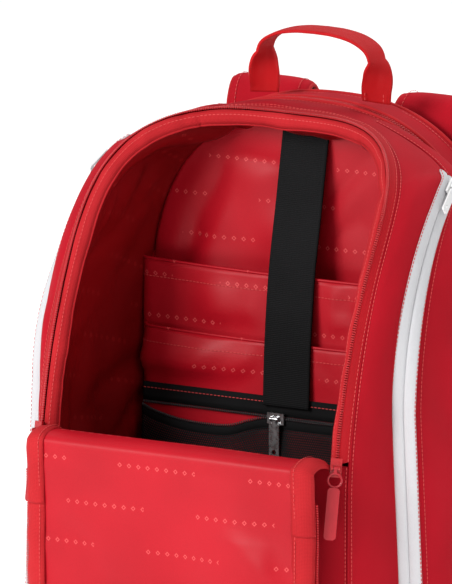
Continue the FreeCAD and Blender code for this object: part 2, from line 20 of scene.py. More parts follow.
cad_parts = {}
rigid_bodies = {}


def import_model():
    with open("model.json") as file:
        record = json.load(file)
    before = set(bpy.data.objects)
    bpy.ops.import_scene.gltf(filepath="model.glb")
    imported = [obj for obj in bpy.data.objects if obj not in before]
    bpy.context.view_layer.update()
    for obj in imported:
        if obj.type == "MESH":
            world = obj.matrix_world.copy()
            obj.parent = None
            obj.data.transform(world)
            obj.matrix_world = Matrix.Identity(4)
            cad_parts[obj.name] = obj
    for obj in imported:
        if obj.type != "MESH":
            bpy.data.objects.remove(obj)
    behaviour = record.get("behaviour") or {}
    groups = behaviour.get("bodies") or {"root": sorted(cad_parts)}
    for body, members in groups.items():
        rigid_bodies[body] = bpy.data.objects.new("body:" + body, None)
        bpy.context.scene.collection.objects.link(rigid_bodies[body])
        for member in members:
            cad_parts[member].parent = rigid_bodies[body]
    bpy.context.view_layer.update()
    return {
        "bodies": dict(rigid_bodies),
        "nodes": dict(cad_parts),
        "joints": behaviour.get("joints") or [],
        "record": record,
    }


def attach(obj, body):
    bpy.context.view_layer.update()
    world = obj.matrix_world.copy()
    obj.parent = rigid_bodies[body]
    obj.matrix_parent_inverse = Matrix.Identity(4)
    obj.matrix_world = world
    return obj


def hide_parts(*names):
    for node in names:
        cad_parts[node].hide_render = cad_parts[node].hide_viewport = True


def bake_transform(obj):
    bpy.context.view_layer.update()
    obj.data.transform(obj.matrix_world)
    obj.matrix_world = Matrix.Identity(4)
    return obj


LOG = logging.getLogger("racket_backpack")
MM = 0.001
Points = np.ndarray
SIDES = (("right", 1.0), ("left", -1.0))
UP = np.array([0.0, 0.0, 1.0])
FORWARD = np.array([0.0, -1.0, 0.0])
BACKWARD = np.array([0.0, 1.0, 0.0])
COIL_PITCH = 1.9
FOLD_SHARE = 0.372
FLAP_TOOTH = (1.35, 3.2, 2.0)


# ---- shader values ----------------------------------------------------------------------------
class Val:
    """A shader socket with arithmetic: every operator adds one Math node."""

    def __init__(self, nodes: "Nodes", socket: bpy.types.NodeSocket) -> None:
        """Wraps a socket.

        Args:
            nodes: The tree the socket belongs to.
            socket: An output socket holding a number.
        """
        self.nodes = nodes
        self.socket = socket

    def math(self, operation: str, first: Any, second: Any = None) -> "Val":
        """Adds a Math node.

        Args:
            operation: Blender's name of the operation.
            first: First operand, a Val or a number.
            second: Second operand, if there is one.

        Returns:
            The node's result.
        """
        operands = [first] if second is None else [first, second]
        node = self.nodes.add("ShaderNodeMath", {"operation": operation}, dict(enumerate(operands)))
        return Val(self.nodes, node.outputs[0])

    def __add__(self, other: Any) -> "Val":
        """Returns self + other."""
        return self.math("ADD", self, other)

    __radd__ = __add__

    def __sub__(self, other: Any) -> "Val":
        """Returns self - other."""
        return self.math("SUBTRACT", self, other)

    def __rsub__(self, other: Any) -> "Val":
        """Returns other - self."""
        return self.math("SUBTRACT", other, self)

    def __mul__(self, other: Any) -> "Val":
        """Returns self * other."""
        return self.math("MULTIPLY", self, other)

    __rmul__ = __mul__

    def __truediv__(self, other: Any) -> "Val":
        """Returns self / other."""
        return self.math("DIVIDE", self, other)

    def __pow__(self, other: Any) -> "Val":
        """Returns self raised to other."""
        return self.math("POWER", self, other)

    def __gt__(self, other: Any) -> "Val":
        """Returns 1 where self is greater than other, and 0 elsewhere."""
        return self.math("GREATER_THAN", self, other)

    def __lt__(self, other: Any) -> "Val":
        """Returns 1 where self is less than other, and 0 elsewhere."""
        return self.math("LESS_THAN", self, other)

    def sin(self) -> "Val":
        """Returns the sine of self."""
        return self.math("SINE", self)

    def fract(self) -> "Val":
        """Returns the fractional part of self."""
        return self.math("FRACT", self)

    def floor(self) -> "Val":
        """Returns self rounded down."""
        return self.math("FLOOR", self)

    def abs(self) -> "Val":
        """Returns the magnitude of self."""
        return self.math("ABSOLUTE", self)

    def clamp(self) -> "Val":
        """Returns self limited to 0..1."""
        node = self.nodes.add("ShaderNodeClamp", {}, {0: self})
        return Val(self.nodes, node.outputs[0])

    def smooth(self, low: float, high: float) -> "Val":
        """Returns a smooth 0..1 step of self from low to high."""
        settings = {"interpolation_type": "SMOOTHSTEP"}
        node = self.nodes.add("ShaderNodeMapRange", settings, {0: self, 1: low, 2: high})
        return Val(self.nodes, node.outputs[0])


class Nodes:
    """Builds one material's node tree."""

    def __init__(self, name: str) -> None:
        """Makes an empty material.

        Args:
            name: The material's name.
        """
        self.material = bpy.data.materials.new(name)
        self.material.use_nodes = True
        self.tree = self.material.node_tree
        self.tree.nodes.clear()

    def add(self, kind: str, settings: dict[str, Any], inputs: dict[Any, Any]) -> bpy.types.Node:
        """Makes one node.

        Args:
            kind: The node's type.
            settings: Attributes set before the sockets.
            inputs: Socket name or number to a value, a Val or a socket.

        Returns:
            The new node.
        """
        node = self.tree.nodes.new(kind)
        for key, value in settings.items():
            setattr(node, key, value)
        for key, value in inputs.items():
            socket = value.socket if isinstance(value, Val) else value
            if isinstance(socket, bpy.types.NodeSocket):
                self.tree.links.new(socket, node.inputs[key])
            else:
                node.inputs[key].default_value = value
        return node

    def cloth_axes(self) -> tuple[Val, Val]:
        """Returns the distances in millimetres across and along the cloth, from its UV map."""
        uv = self.add("ShaderNodeTexCoord", {}, {}).outputs["UV"]
        split = self.add("ShaderNodeSeparateXYZ", {}, {0: uv})
        return Val(self, split.outputs[0]) * 1000.0, Val(self, split.outputs[1]) * 1000.0

    def space(self) -> bpy.types.NodeSocket:
        """Returns the object's own coordinates, in metres."""
        return self.add("ShaderNodeTexCoord", {}, {}).outputs["Object"]

    def noise(self, scale: float, detail: float = 2.0, where: Any = None) -> Val:
        """Adds a noise texture.

        Args:
            scale: Features per metre.
            detail: Number of octaves.
            where: Coordinates, or None for the object's own.

        Returns:
            The noise, around 0.5.
        """
        where = self.space() if where is None else where
        node = self.add("ShaderNodeTexNoise", {}, {"Vector": where, "Scale": scale, "Detail": detail})
        return Val(self, node.outputs[0])

    def mix(self, factor: Any, first: Any, second: Any) -> bpy.types.NodeSocket:
        """Mixes two colours.

        Args:
            factor: 0 gives the first, 1 the second.
            first: A colour or a colour socket.
            second: A colour or a colour socket.

        Returns:
            The mixed colour.
        """
        first = (*first, 1.0) if isinstance(first, tuple) else first
        second = (*second, 1.0) if isinstance(second, tuple) else second
        node = self.add("ShaderNodeMix", {"data_type": "RGBA"}, {0: factor, 6: first, 7: second})
        return node.outputs[2]

    def bump(self, height: Val, distance: float, strength: float = 1.0) -> bpy.types.NodeSocket:
        """Returns a normal raised by height times distance, in metres."""
        inputs = {"Height": height, "Distance": distance, "Strength": strength}
        return self.add("ShaderNodeBump", {}, inputs).outputs[0]

    def finish(self, **inputs: Any) -> bpy.types.Material:
        """Adds the shader and the output.

        Args:
            inputs: Principled sockets, with underscores for spaces.

        Returns:
            The finished material.
        """
        named = {key.replace("_", " "): value for key, value in inputs.items()}
        shader = self.add("ShaderNodeBsdfPrincipled", {}, named)
        self.add("ShaderNodeOutputMaterial", {}, {0: shader.outputs[0]})
        return self.material


Colour = tuple[float, float, float]


class Weave(Enum):
    """How a cloth's threads cross."""

    PLAIN = "plain"
    TWILL = "twill"
    RIB = "rib"
    HERRINGBONE = "herringbone"


MARK_ROW = 34.0
MARK_STEP = 8.5
MARK_SHIFT = 47.0
MARK_REACH = 2.1
MARK_HOLE = 1.0
MARK_RUN = 118.0
MARK_RUN_SHARE = 0.62


@dataclass(frozen=True)
class Cloth:
    """A woven finish."""

    name: str
    light: Colour
    dark: Colour
    weave: Weave
    pitch: float
    rough: float = 0.7
    depth: float = 0.12
    sheen: float = 0.0
    coat: float = 0.0
    mottle: float = 0.35
    printed: bool = False
    print_colour: Colour = (0.8, 0.25, 0.25)
    shine: float = 0.3

    def threads(self, across: Val, along: Val) -> Val:
        """Returns the height of the weave, from 0 to 1.

        Args:
            across: Distance across the cloth in mm.
            along: Distance along the cloth in mm.

        Returns:
            The height.
        """
        turn = 2.0 * math.pi / self.pitch
        if self.weave is Weave.TWILL:
            ribs = ((across + along) * turn).sin() * 0.35
            return ribs + ((across - along) * (turn * 2.0)).sin() * 0.15 + 0.5
        if self.weave is Weave.RIB:
            return (along * turn).sin() * 0.4 + (across * turn * 0.5).sin() * 0.1 + 0.5
        if self.weave is Weave.HERRINGBONE:
            side = ((across / (self.pitch * 6.0)).fract() - 0.5).abs() * (self.pitch * 12.0)
            return ((side + along) * turn).sin() * 0.5 + 0.5
        return (across * turn).sin() * (along * turn).sin() * 0.5 + 0.5

    @staticmethod
    def marks(across: Val, along: Val) -> Val:
        """Returns a mask of small printed open lozenges in runs on staggered rows.

        Args:
            across: Distance across the cloth in mm.
            along: Distance along the cloth in mm.

        Returns:
            1 on a mark, 0 elsewhere.
        """
        row = (along / MARK_ROW).floor()
        up = ((along / MARK_ROW).fract() - 0.5).abs() * MARK_ROW
        shifted = across + row * MARK_SHIFT
        side = ((shifted / MARK_STEP).fract() - 0.5).abs() * MARK_STEP
        dot = (up + side) < MARK_REACH
        hole = (up + side) < MARK_HOLE
        run = (shifted / MARK_RUN).fract() < MARK_RUN_SHARE
        return (dot - hole) * run

    def material(self) -> bpy.types.Material:
        """Returns the cloth's material."""
        nodes = Nodes(self.name)
        across, along = nodes.cloth_axes()
        height = self.threads(across, along)
        blotch = nodes.noise(9.0, 3.0).smooth(0.32, 0.7)
        grain = nodes.noise(900.0, 1.0)
        shade = (height * 0.45 + blotch * self.mottle + grain * 0.3 - 0.1).clamp()
        colour = nodes.mix(shade, self.dark, self.light)
        if self.printed:
            colour = nodes.mix(self.marks(across, along) * 0.6, colour, self.print_colour)
        normal = nodes.bump(height + grain * 0.25, self.depth * MM)
        rough = (grain * 0.16 + (self.rough - 0.08)).clamp()
        return nodes.finish(Base_Color=colour, Roughness=rough, Normal=normal, Sheen_Weight=self.sheen,
                            Sheen_Roughness=0.5, Coat_Weight=self.coat, Coat_Roughness=0.3,
                            Specular_IOR_Level=self.shine)


@dataclass(frozen=True)
class Netting:
    """A knitted mesh with real holes between its strands."""

    name: str
    colour: Colour
    pitch: float
    strand: float

    def material(self) -> bpy.types.Material:
        """Returns the mesh's material, see-through in its holes."""
        nodes = Nodes(self.name)
        across, along = nodes.cloth_axes()
        row = (along / self.pitch).floor()
        side = ((across / self.pitch + row * 0.5).fract() - 0.5).abs() * 2.0
        up = ((along / self.pitch).fract() - 0.5).abs() * 2.0
        strand = (side * side + up * up) > (1.0 - self.strand)
        grain = nodes.noise(700.0, 2.0)
        dark = tuple(c * 0.4 for c in self.colour)
        colour = nodes.mix(grain, dark, self.colour)
        return nodes.finish(Base_Color=colour, Roughness=0.8, Alpha=strand, Specular_IOR_Level=0.15)


@dataclass(frozen=True)
class Solid:
    """A moulded, cast or painted finish."""

    name: str
    colour: Colour
    rough: float
    metallic: float = 0.0
    grain: float = 400.0
    depth: float = 0.05
    coat: float = 0.0
    worn: float = 0.28
    glow: float = 0.0

    def material(self) -> bpy.types.Material:
        """Returns the finish's material."""
        nodes = Nodes(self.name)
        grain = nodes.noise(self.grain, 3.0)
        wear = nodes.noise(60.0, 2.0)
        dark = tuple(c * (1.0 - self.worn) for c in self.colour)
        colour = nodes.mix((wear * 0.7 + grain * 0.4).clamp(), dark, self.colour)
        rough = (grain * 0.2 + (self.rough - 0.1)).clamp()
        return nodes.finish(Base_Color=colour, Roughness=rough, Metallic=self.metallic,
                            Coat_Weight=self.coat, Normal=nodes.bump(grain, self.depth * MM),
                            Emission_Color=(1.0, 1.0, 1.0, 1.0), Emission_Strength=self.glow)


class Finishes:
    """Every finish of the bag, made once."""

    FABRIC = Cloth("red_polyester", (0.50, 0.003, 0.016), (0.27, 0.001, 0.006), Weave.TWILL, 1.3, 0.82, 0.10,
                   shine=0.16)
    LINING = Cloth("red_nylon_lining", (0.54, 0.006, 0.018), (0.33, 0.002, 0.008), Weave.PLAIN, 0.9, 0.44,
                   0.03, coat=0.02, printed=True, print_colour=(0.74, 0.10, 0.10), shine=0.2)
    # The lining again, darkened as painted shade for the walls, floor and inner faces that lie in shade
    # inside the bag; its print is darkened the same way.
    LINING_PAINTED_SHADE = Cloth("lining_painted_shade", (0.30, 0.002, 0.004), (0.13, 0.001, 0.002), Weave.PLAIN, 0.9, 0.42,
                        0.03, coat=0.05, printed=True, print_colour=(0.36, 0.02, 0.02), shine=0.3)
    WEBBING = Cloth("red_webbing", (0.62, 0.006, 0.010), (0.38, 0.002, 0.004), Weave.HERRINGBONE, 1.6,
                    0.7, 0.25, shine=0.2)
    BINDING = Cloth("coral_binding", (0.56, 0.020, 0.026), (0.34, 0.006, 0.010), Weave.RIB, 1.1, 0.8, 0.18,
                    shine=0.2)
    TAPE = Cloth("red_zip_tape", (0.54, 0.005, 0.014), (0.32, 0.002, 0.006), Weave.HERRINGBONE, 1.2,
                 0.75, 0.12, shine=0.2)
    WHITE_TAPE = Cloth("white_zip_tape", (0.66, 0.66, 0.67), (0.50, 0.50, 0.52), Weave.HERRINGBONE, 1.1, 0.6,
                       0.08, mottle=0.12)
    ELASTIC = Cloth("black_elastic", (0.012, 0.012, 0.013), (0.004, 0.004, 0.004), Weave.RIB, 1.5, 0.85, 0.3,
                    shine=0.12)
    BLACK_TAPE = Cloth("black_zip_tape", (0.012, 0.012, 0.013), (0.004, 0.004, 0.004), Weave.HERRINGBONE,
                       1.2, 0.8, 0.15, shine=0.12)
    BOARD = Cloth("coated_base_cloth", (0.05, 0.045, 0.045), (0.02, 0.018, 0.018), Weave.PLAIN, 1.8, 0.6, 0.2)
    MESH = Netting("black_pocket_mesh", (0.010, 0.010, 0.011), 1.9, 0.62)
    BACKING = Cloth("black_spacer_backing", (0.020, 0.020, 0.022), (0.006, 0.006, 0.007), Weave.PLAIN, 3.2,
                    0.85, 0.4, shine=0.12)
    SPACER_PAD = Cloth("black_spacer_mesh_pad", (0.030, 0.030, 0.033), (0.007, 0.007, 0.008), Weave.PLAIN,
                       4.0, 0.85, 0.9, shine=0.12)
    THREAD = Solid("coral_thread", (0.66, 0.05, 0.05), 0.6)
    COIL = Solid("red_coil", (0.50, 0.006, 0.012), 0.38)
    BLACK_COIL = Solid("black_coil", (0.02, 0.02, 0.022), 0.35)
    SILVER = Solid("silver_casting", (0.72, 0.72, 0.73), 0.28, 1.0, 300.0, 0.03)
    RED_METAL = Solid("red_painted_metal", (0.46, 0.004, 0.010), 0.3, 0.0, 300.0, 0.03, 0.4)
    RED_PULL = Solid("red_moulded_pull", (0.44, 0.004, 0.014), 0.42, 0.0, 500.0, 0.04, 0.1)
    WHITE_METAL = Solid("white_painted_metal", (0.80, 0.80, 0.80), 0.35, 0.0, 300.0, 0.03, 0.2)
    NYLON = Solid("black_moulded_nylon", (0.02, 0.02, 0.021), 0.45)

    _made: dict[str, bpy.types.Material] = {}

    @classmethod
    def get(cls, finish: Cloth | Netting | Solid) -> bpy.types.Material:
        """Returns a finish's material, built on first use."""
        if finish.name not in cls._made:
            cls._made[finish.name] = finish.material()
        return cls._made[finish.name]


# ---- curves and surfaces ----------------------------------------------------------------------
def resample(points: Points, shares: Sequence[float]) -> Points:
    """Returns the points at given shares of a polyline's length."""
    steps = np.linalg.norm(np.diff(points, axis=0), axis=1)
    lengths = np.concatenate([[0.0], np.cumsum(steps)])
    at = np.asarray(shares, dtype=float) * lengths[-1]
    return np.stack([np.interp(at, lengths, points[:, k]) for k in range(points.shape[1])], axis=1)


def unit(vectors: Points) -> Points:
    """Returns the vectors at length 1."""
    return vectors / np.maximum(np.linalg.norm(vectors, axis=-1, keepdims=True), 1e-9)


def toward(starts: Points, ends: Points, distance: float) -> Points:
    """Returns each start moved towards its end by a distance."""
    return starts + unit(ends - starts) * distance


def mirrored(points: Points) -> Points:
    """Returns points or grids reflected to the other side."""
    return points * np.array([-1.0, 1.0, 1.0])


def over_the_top(right: Points) -> Points:
    """Returns a right-hand curve that ends on the middle, carried on down the left."""
    return np.concatenate([mirrored(right)[:-1], right[::-1]])


def spline(knots: Sequence[Sequence[float]], count: int) -> Points:
    """Returns a smooth curve through a few given points.

    Args:
        knots: The points, in mm.
        count: Number of points returned.

    Returns:
        Points evenly spread along a Catmull-Rom curve.
    """
    p = np.asarray(knots, dtype=float)
    p = np.concatenate([[2 * p[0] - p[1]], p, [2 * p[-1] - p[-2]]])
    t = np.linspace(0.0, 1.0, 12, endpoint=False)[:, None]
    parts = []
    for a, b, c, d in zip(p, p[1:], p[2:], p[3:]):
        parts.append(0.5 * (2 * b + (c - a) * t + (2 * a - 5 * b + 4 * c - d) * t ** 2
                            + (3 * b - a - 3 * c + d) * t ** 3))
    parts.append(p[-2][None])
    return resample(np.concatenate(parts), np.linspace(0.0, 1.0, count))


@dataclass
class Outline:
    """The bag's guide curves, as the CAD has them."""

    foot: float = 6.4
    seam_y: float = 60.0
    seam_half: float = 156.0
    seam_shoulder: float = 300.0
    seam_rise: float = 180.0
    seam_power: float = 2.4
    rim_half: float = 134.5
    rim_shoulder: float = 368.0
    rim_rise: float = 110.0
    rim_power: float = 3.8
    rim_top_y: float = 30.0
    rim_depth: float = 170.0
    rim_lean_z: float = 200.0
    rim_lean_power: float = 1.75
    rim_tuck: float = 12.0
    zip_half: float = 174.0
    zip_y: float = -86.0
    zip_bend_z: float = 270.0
    zip_radius: float = 185.0
    zip_sweep: float = 62.0
    zip_normal: tuple[float, float, float] = (0.986, 0.158, 0.044)
    panel_end: float = 0.88
    zip_tail: float = 12.0
    samples: int = 160

    def zip_top_share(self) -> float:
        """Returns where the side zip's tapes end, as a share of the outer guide."""
        run, whole = (float(np.linalg.norm(np.diff(line, axis=0), axis=1).sum())
                      for line in (self.side_zip(), self.panel_zip()))
        return self.panel_end * (run + self.zip_tail) / whole

    def arch(self, half: float, shoulder: float, rise: float, power: float) -> Points:
        """Returns the x and z of a squared arch from its shoulder to the middle of its top."""
        angle = np.linspace(0.0, math.pi / 2, self.samples + 1)
        c, s = np.maximum(np.cos(angle), 0.0), np.maximum(np.sin(angle), 0.0)
        return np.stack([half * c ** (2 / power), shoulder + rise * s ** (2 / power)], axis=1)

    def rim_y(self, z: Points) -> Points:
        """Returns how far back the rim is at each height."""
        z = np.asarray(z, dtype=float)
        down = np.maximum(0.0, (self.rim_lean_z * 0.6 - z) / (self.rim_lean_z * 0.6))
        low = self.rim_top_y - self.rim_depth + self.rim_tuck * down * down
        top = self.rim_shoulder + self.rim_rise
        share = np.clip((z - self.rim_lean_z) / (top + 1.0 - self.rim_lean_z), 0.0, 1.0)
        keep = (1.0 - share ** self.rim_lean_power) ** (1.0 / self.rim_lean_power)
        return np.where(z <= self.rim_lean_z, low, self.rim_top_y - self.rim_depth * keep)

    def seam(self, y: float | None = None, inset: float = 0.0) -> Points:
        """Returns the right half of the rear outline, from the base to the middle of the top."""
        y = self.seam_y if y is None else y
        half = self.seam_half - inset
        side = np.linspace(self.foot, self.seam_shoulder, 40, endpoint=False)
        arch = self.arch(half, self.seam_shoulder, self.seam_rise - inset, self.seam_power)
        xz = np.concatenate([np.stack([np.full(40, half), side], axis=1), arch])
        return np.stack([xz[:, 0], np.full(len(xz), y), xz[:, 1]], axis=1)

    def rim(self, inset: float = 0.0, start: float | None = None) -> Points:
        """Returns the right half of a line this far inside the rim, from start to the middle."""
        start = self.foot if start is None else start
        half, rise = self.rim_half - inset, self.rim_rise - 0.28 * inset
        side = np.linspace(start, self.rim_shoulder, 60, endpoint=False)
        arch = self.arch(half, self.rim_shoulder, rise, self.rim_power)
        xz = np.concatenate([np.stack([np.full(60, half), side], axis=1), arch])
        return np.stack([xz[:, 0], self.rim_y(xz[:, 1]), xz[:, 1]], axis=1)

    def zip_frame(self) -> tuple[Points, Points, Points, Points]:
        """Returns the start, up, back and centre of the right side zip's arc."""
        normal = unit(np.array(self.zip_normal))
        up = unit(np.array([0.0, 0.0, 1.0]) - normal * normal[2])
        back = unit(np.cross(up, normal))
        back = back if back[1] > 0 else -back
        start = np.array([self.zip_half, self.zip_y, self.zip_bend_z])
        return start, up, back, start + back * self.zip_radius

    def side_zip(self) -> Points:
        """Returns the right side zip's line, from the wall's foot to its top end."""
        start, up, back, centre = self.zip_frame()
        foot = start - up * ((start[2] - self.foot) / up[2])
        turn = np.radians(np.linspace(0.0, self.zip_sweep, 61))[:, None]
        arc = centre - back * np.cos(turn) * self.zip_radius + up * np.sin(turn) * self.zip_radius
        return np.concatenate([np.linspace(foot, start, 40, endpoint=False), arc])

    def panel_zip(self) -> Points:
        """Returns the side zip's line, carried on until it meets the top gusset."""
        middle = (resample(self.seam(), [self.panel_end]) + resample(self.rim(), [self.panel_end]))[0]
        line = self.side_zip()
        end = middle * 0.5 + np.array([0.0, 0.0, 4.0])
        ahead = line[-1] + unit(line[-1] - line[-2]) * 30.0
        k = np.linspace(0.0, 1.0, 13)[1:, None]
        return np.concatenate([line, line[-1] * (1 - k) ** 2 + ahead * 2 * k * (1 - k) + end * k * k])

    def zip_edges(self, shares: Points, half: float) -> tuple[Points, Points, Points]:
        """Returns the front edge, the middle and the rear edge of the right side zip.

        Args:
            shares: Shares of the outer guide's length.
            half: Half the zip's width in mm.

        Returns:
            Three lines. The zip faces forward low down and sideways at its top.
        """
        line = self.outer_guide(shares)
        up = np.clip((line[:, 2] - self.zip_bend_z) / 150.0, 0.0, 1.0)[:, None]
        facing = np.array([[0.34, -0.94, 0.0]]) * (1.0 - up) + np.array([[0.95, -0.1, 0.28]]) * up
        across = unit(np.cross(facing, np.gradient(line, axis=0)))
        across = np.where(across[:, :1] * 0.7 + across[:, 1:2] > 0, across, -across)
        middle = line + np.array([[-8.0, 0.0, 0.0]]) * (1.0 - up)
        return middle - across * half, middle, middle + across * half

    def outer_guide(self, shares: Sequence[float]) -> Points:
        """Returns points out from the rim: the side zip, and over the top the rear seam."""
        shares = np.asarray(shares)
        side = resample(self.panel_zip(), np.minimum(shares, self.panel_end) / self.panel_end)
        return np.where((shares > self.panel_end)[:, None], resample(self.seam(), shares), side)


INSIDE = np.array([0.0, 0.0, 240.0])


@dataclass
class Surface:
    """A grid of points, rows along the cloth and columns across it."""

    rows: Points
    inside: Points = field(default_factory=lambda: INSIDE)
    start: float = 0.0

    def normals(self) -> Points:
        """Returns the surface's outward normal at every point."""
        along = np.gradient(self.rows, axis=0)
        across = np.gradient(self.rows, axis=1)
        normal = unit(np.cross(across, along))
        middle = normal[len(normal) // 2, normal.shape[1] // 2]
        away = self.rows[len(normal) // 2, normal.shape[1] // 2] - self.inside
        return normal if np.dot(middle, away) > 0 else -normal

    def lifted(self, height: Any) -> "Surface":
        """Returns the surface moved along its normals by a height in mm."""
        height = np.broadcast_to(np.asarray(height, dtype=float), self.rows.shape[:2])
        return Surface(self.rows + self.normals() * height[..., None], self.inside, self.start)

    def lengths(self) -> tuple[Points, Points]:
        """Returns the distance across and along the cloth at every point, in mm."""
        across = np.linalg.norm(np.diff(self.rows, axis=1), axis=2)
        along = np.linalg.norm(np.diff(self.rows, axis=0), axis=2).mean(axis=1)
        u = np.concatenate([np.zeros((len(self.rows), 1)), np.cumsum(across, axis=1)], axis=1)
        u = u - u[:, -1:] / 2
        v = np.concatenate([[0.0], np.cumsum(along)]) + self.start
        return u, np.broadcast_to(v[:, None], u.shape)

    def line(self, share: float, lift: float = 0.0) -> Points:
        """Returns a line along the cloth at a share of its width, lifted off it."""
        width = self.rows.shape[1] - 1
        low = min(int(share * width), width - 1)
        k = share * width - low
        points = self.rows[:, low] * (1 - k) + self.rows[:, low + 1] * k
        normal = self.normals()
        return points + unit(normal[:, low] * (1 - k) + normal[:, low + 1] * k) * lift

    def normals_at(self, share: float) -> Points:
        """Returns the outward normals along the line at a share of the width."""
        return self.normals()[:, int(round(share * (self.rows.shape[1] - 1)))]

    def turned(self) -> "Surface":
        """Returns the same surface with its length and width exchanged."""
        return Surface(self.rows.transpose(1, 0, 2), self.inside)

    def part(self, first: int, last: int) -> "Surface":
        """Returns the rows from first to last."""
        return Surface(self.rows[first:last], self.inside, float(self.lengths()[1][first, 0]))

    def flipped(self) -> "Surface":
        """Returns the surface reflected to the other side of the bag."""
        return Surface(mirrored(self.rows), mirrored(self.inside))


def band(first: Points, second: Points, across: int, crown: Any = 0.0, power: float = 2.0) -> Surface:
    """Returns the surface between two curves, bowed outward.

    Args:
        first: One edge.
        second: The other edge, with as many points.
        across: Number of columns.
        crown: Height of the bow in mm, one number or one for each row.
        power: 2 for a round bow, more for a flat one.

    Returns:
        The surface.
    """
    k = np.linspace(0.0, 1.0, across)
    if power > 2.0:
        k = 0.5 - 0.5 * np.cos(math.pi * k)
    rows = first[:, None] * (1 - k)[None, :, None] + second[:, None] * k[None, :, None]
    bow = (1.0 - np.abs(2 * k - 1) ** power)[None, :] * np.broadcast_to(np.atleast_1d(crown)[:, None],
                                                                       (len(first), 1))
    return Surface(rows).lifted(bow)


def rumple(surface: Surface, seed: int, count: int, depth: float, width: float, lean: float = 0.0) -> Points:
    """Returns soft creases over a cloth.

    Args:
        surface: The cloth.
        seed: Chooses where the creases fall.
        count: Number of creases.
        depth: Their height in mm.
        width: Their usual width in mm.
        lean: Their usual direction, in radians from the cloth's length.

    Returns:
        A height for every point, in mm.
    """
    rng = np.random.default_rng(seed)
    u, v = surface.lengths()
    low_u, low_v = u.min(), v.min()
    span_u, span_v = np.ptp(u), np.ptp(v)
    height = np.zeros(u.shape)
    for _ in range(count):
        cu, cv = low_u + rng.random() * span_u, low_v + rng.random() * span_v
        angle = lean + rng.normal(0.0, 0.45)
        size = width * rng.uniform(0.6, 1.7)
        reach = size * rng.uniform(2.5, 6.0)
        along = (u - cu) * math.sin(angle) + (v - cv) * math.cos(angle)
        curl = along ** 2 / reach * rng.uniform(-0.2, 0.2)
        side = (u - cu) * math.cos(angle) - (v - cv) * math.sin(angle) + curl
        tall = rng.choice([-1.0, 1.0]) * rng.uniform(0.4, 1.0)
        height += tall * np.exp(-(side / size) ** 2 - (along / reach) ** 2)
    return height * depth


def edge_fade(surface: Surface, margin: float) -> Points:
    """Returns 0 at a cloth's edges rising to 1 this many mm inside them."""
    u, v = surface.lengths()
    side = np.minimum(u - u[:, :1], u[:, -1:] - u)
    end = np.minimum(v - v[:1], v[-1:] - v)
    return np.clip(np.minimum(side, end) / margin, 0.0, 1.0) ** 0.8


# ---- meshes -----------------------------------------------------------------------------------
def mesh_piece(name: str, verts: Points, faces: Iterable[Sequence[int]], finish: Any,
               uvs: Points | None = None, smooth: bool = True) -> bpy.types.Object:
    """Makes a mesh object.

    Args:
        name: The piece's name.
        verts: Vertices in mm.
        faces: Vertex numbers of each face.
        finish: The finish it is dressed in.
        uvs: Cloth coordinates in mm for each vertex.
        smooth: Whether it is shaded smooth.

    Returns:
        The object.
    """
    mesh = bpy.data.meshes.new(name)
    mesh.from_pydata((np.asarray(verts) * MM).tolist(), [], [tuple(map(int, f)) for f in faces])
    mesh.update()
    if uvs is not None:
        layer = mesh.uv_layers.new(name="cloth")
        index = np.empty(len(mesh.loops), dtype=np.int32)
        mesh.loops.foreach_get("vertex_index", index)
        layer.data.foreach_set("uv", (np.asarray(uvs)[index] * MM).astype(np.float32).ravel())
    mesh.polygons.foreach_set("use_smooth", [smooth] * len(mesh.polygons))
    mesh.materials.append(Finishes.get(finish))
    piece = bpy.data.objects.new(name, mesh)
    bpy.context.scene.collection.objects.link(piece)
    return piece


def grid_faces(rows: int, columns: int, around: bool = False) -> list[tuple[int, int, int, int]]:
    """Returns the quads of a grid, closed across if it goes around."""
    last = columns if around else columns - 1
    return [(r * columns + c, r * columns + (c + 1) % columns, (r + 1) * columns + (c + 1) % columns,
             (r + 1) * columns + c) for r in range(rows - 1) for c in range(last)]


def cloth_piece(name: str, surface: Surface, finish: Any, thick: float = 1.0,
                lining: Any = None) -> bpy.types.Object:
    """Makes a sewn panel from a surface.

    Args:
        name: The piece's name.
        surface: Its outer face.
        finish: The outer finish.
        thick: Thickness in mm, reaching inward, or 0 for a single skin.
        lining: Finish of the inner face, if it differs.

    Returns:
        The object.
    """
    rows, columns = surface.rows.shape[:2]
    u, v = surface.lengths()
    uvs = np.stack([u.ravel(), v.ravel()], axis=1)
    faces = grid_faces(rows, columns)
    along = surface.rows[rows // 2 + 1, columns // 2] - surface.rows[rows // 2, columns // 2]
    across = surface.rows[rows // 2, columns // 2 + 1] - surface.rows[rows // 2, columns // 2]
    if np.dot(np.cross(across, along), surface.normals()[rows // 2, columns // 2]) < 0:
        faces = [f[::-1] for f in faces]
    piece = mesh_piece(name, surface.rows.reshape(-1, 3), faces, finish, uvs)
    if thick > 0.0:
        solid = piece.modifiers.new("thickness", "SOLIDIFY")
        solid.thickness = thick * MM
        solid.offset = -1.0
        solid.use_even_offset = False
        if lining is not None:
            piece.data.materials.append(Finishes.get(lining))
            solid.material_offset = 1
    return piece


def frames_along(path: Points, up: Points) -> tuple[Points, Points, Points]:
    """Returns tangents, outward and sideways directions along a path."""
    along = unit(np.gradient(path, axis=0))
    up = np.broadcast_to(up, path.shape)
    out = unit(up - along * np.sum(up * along, axis=1, keepdims=True))
    return along, out, np.cross(along, out)


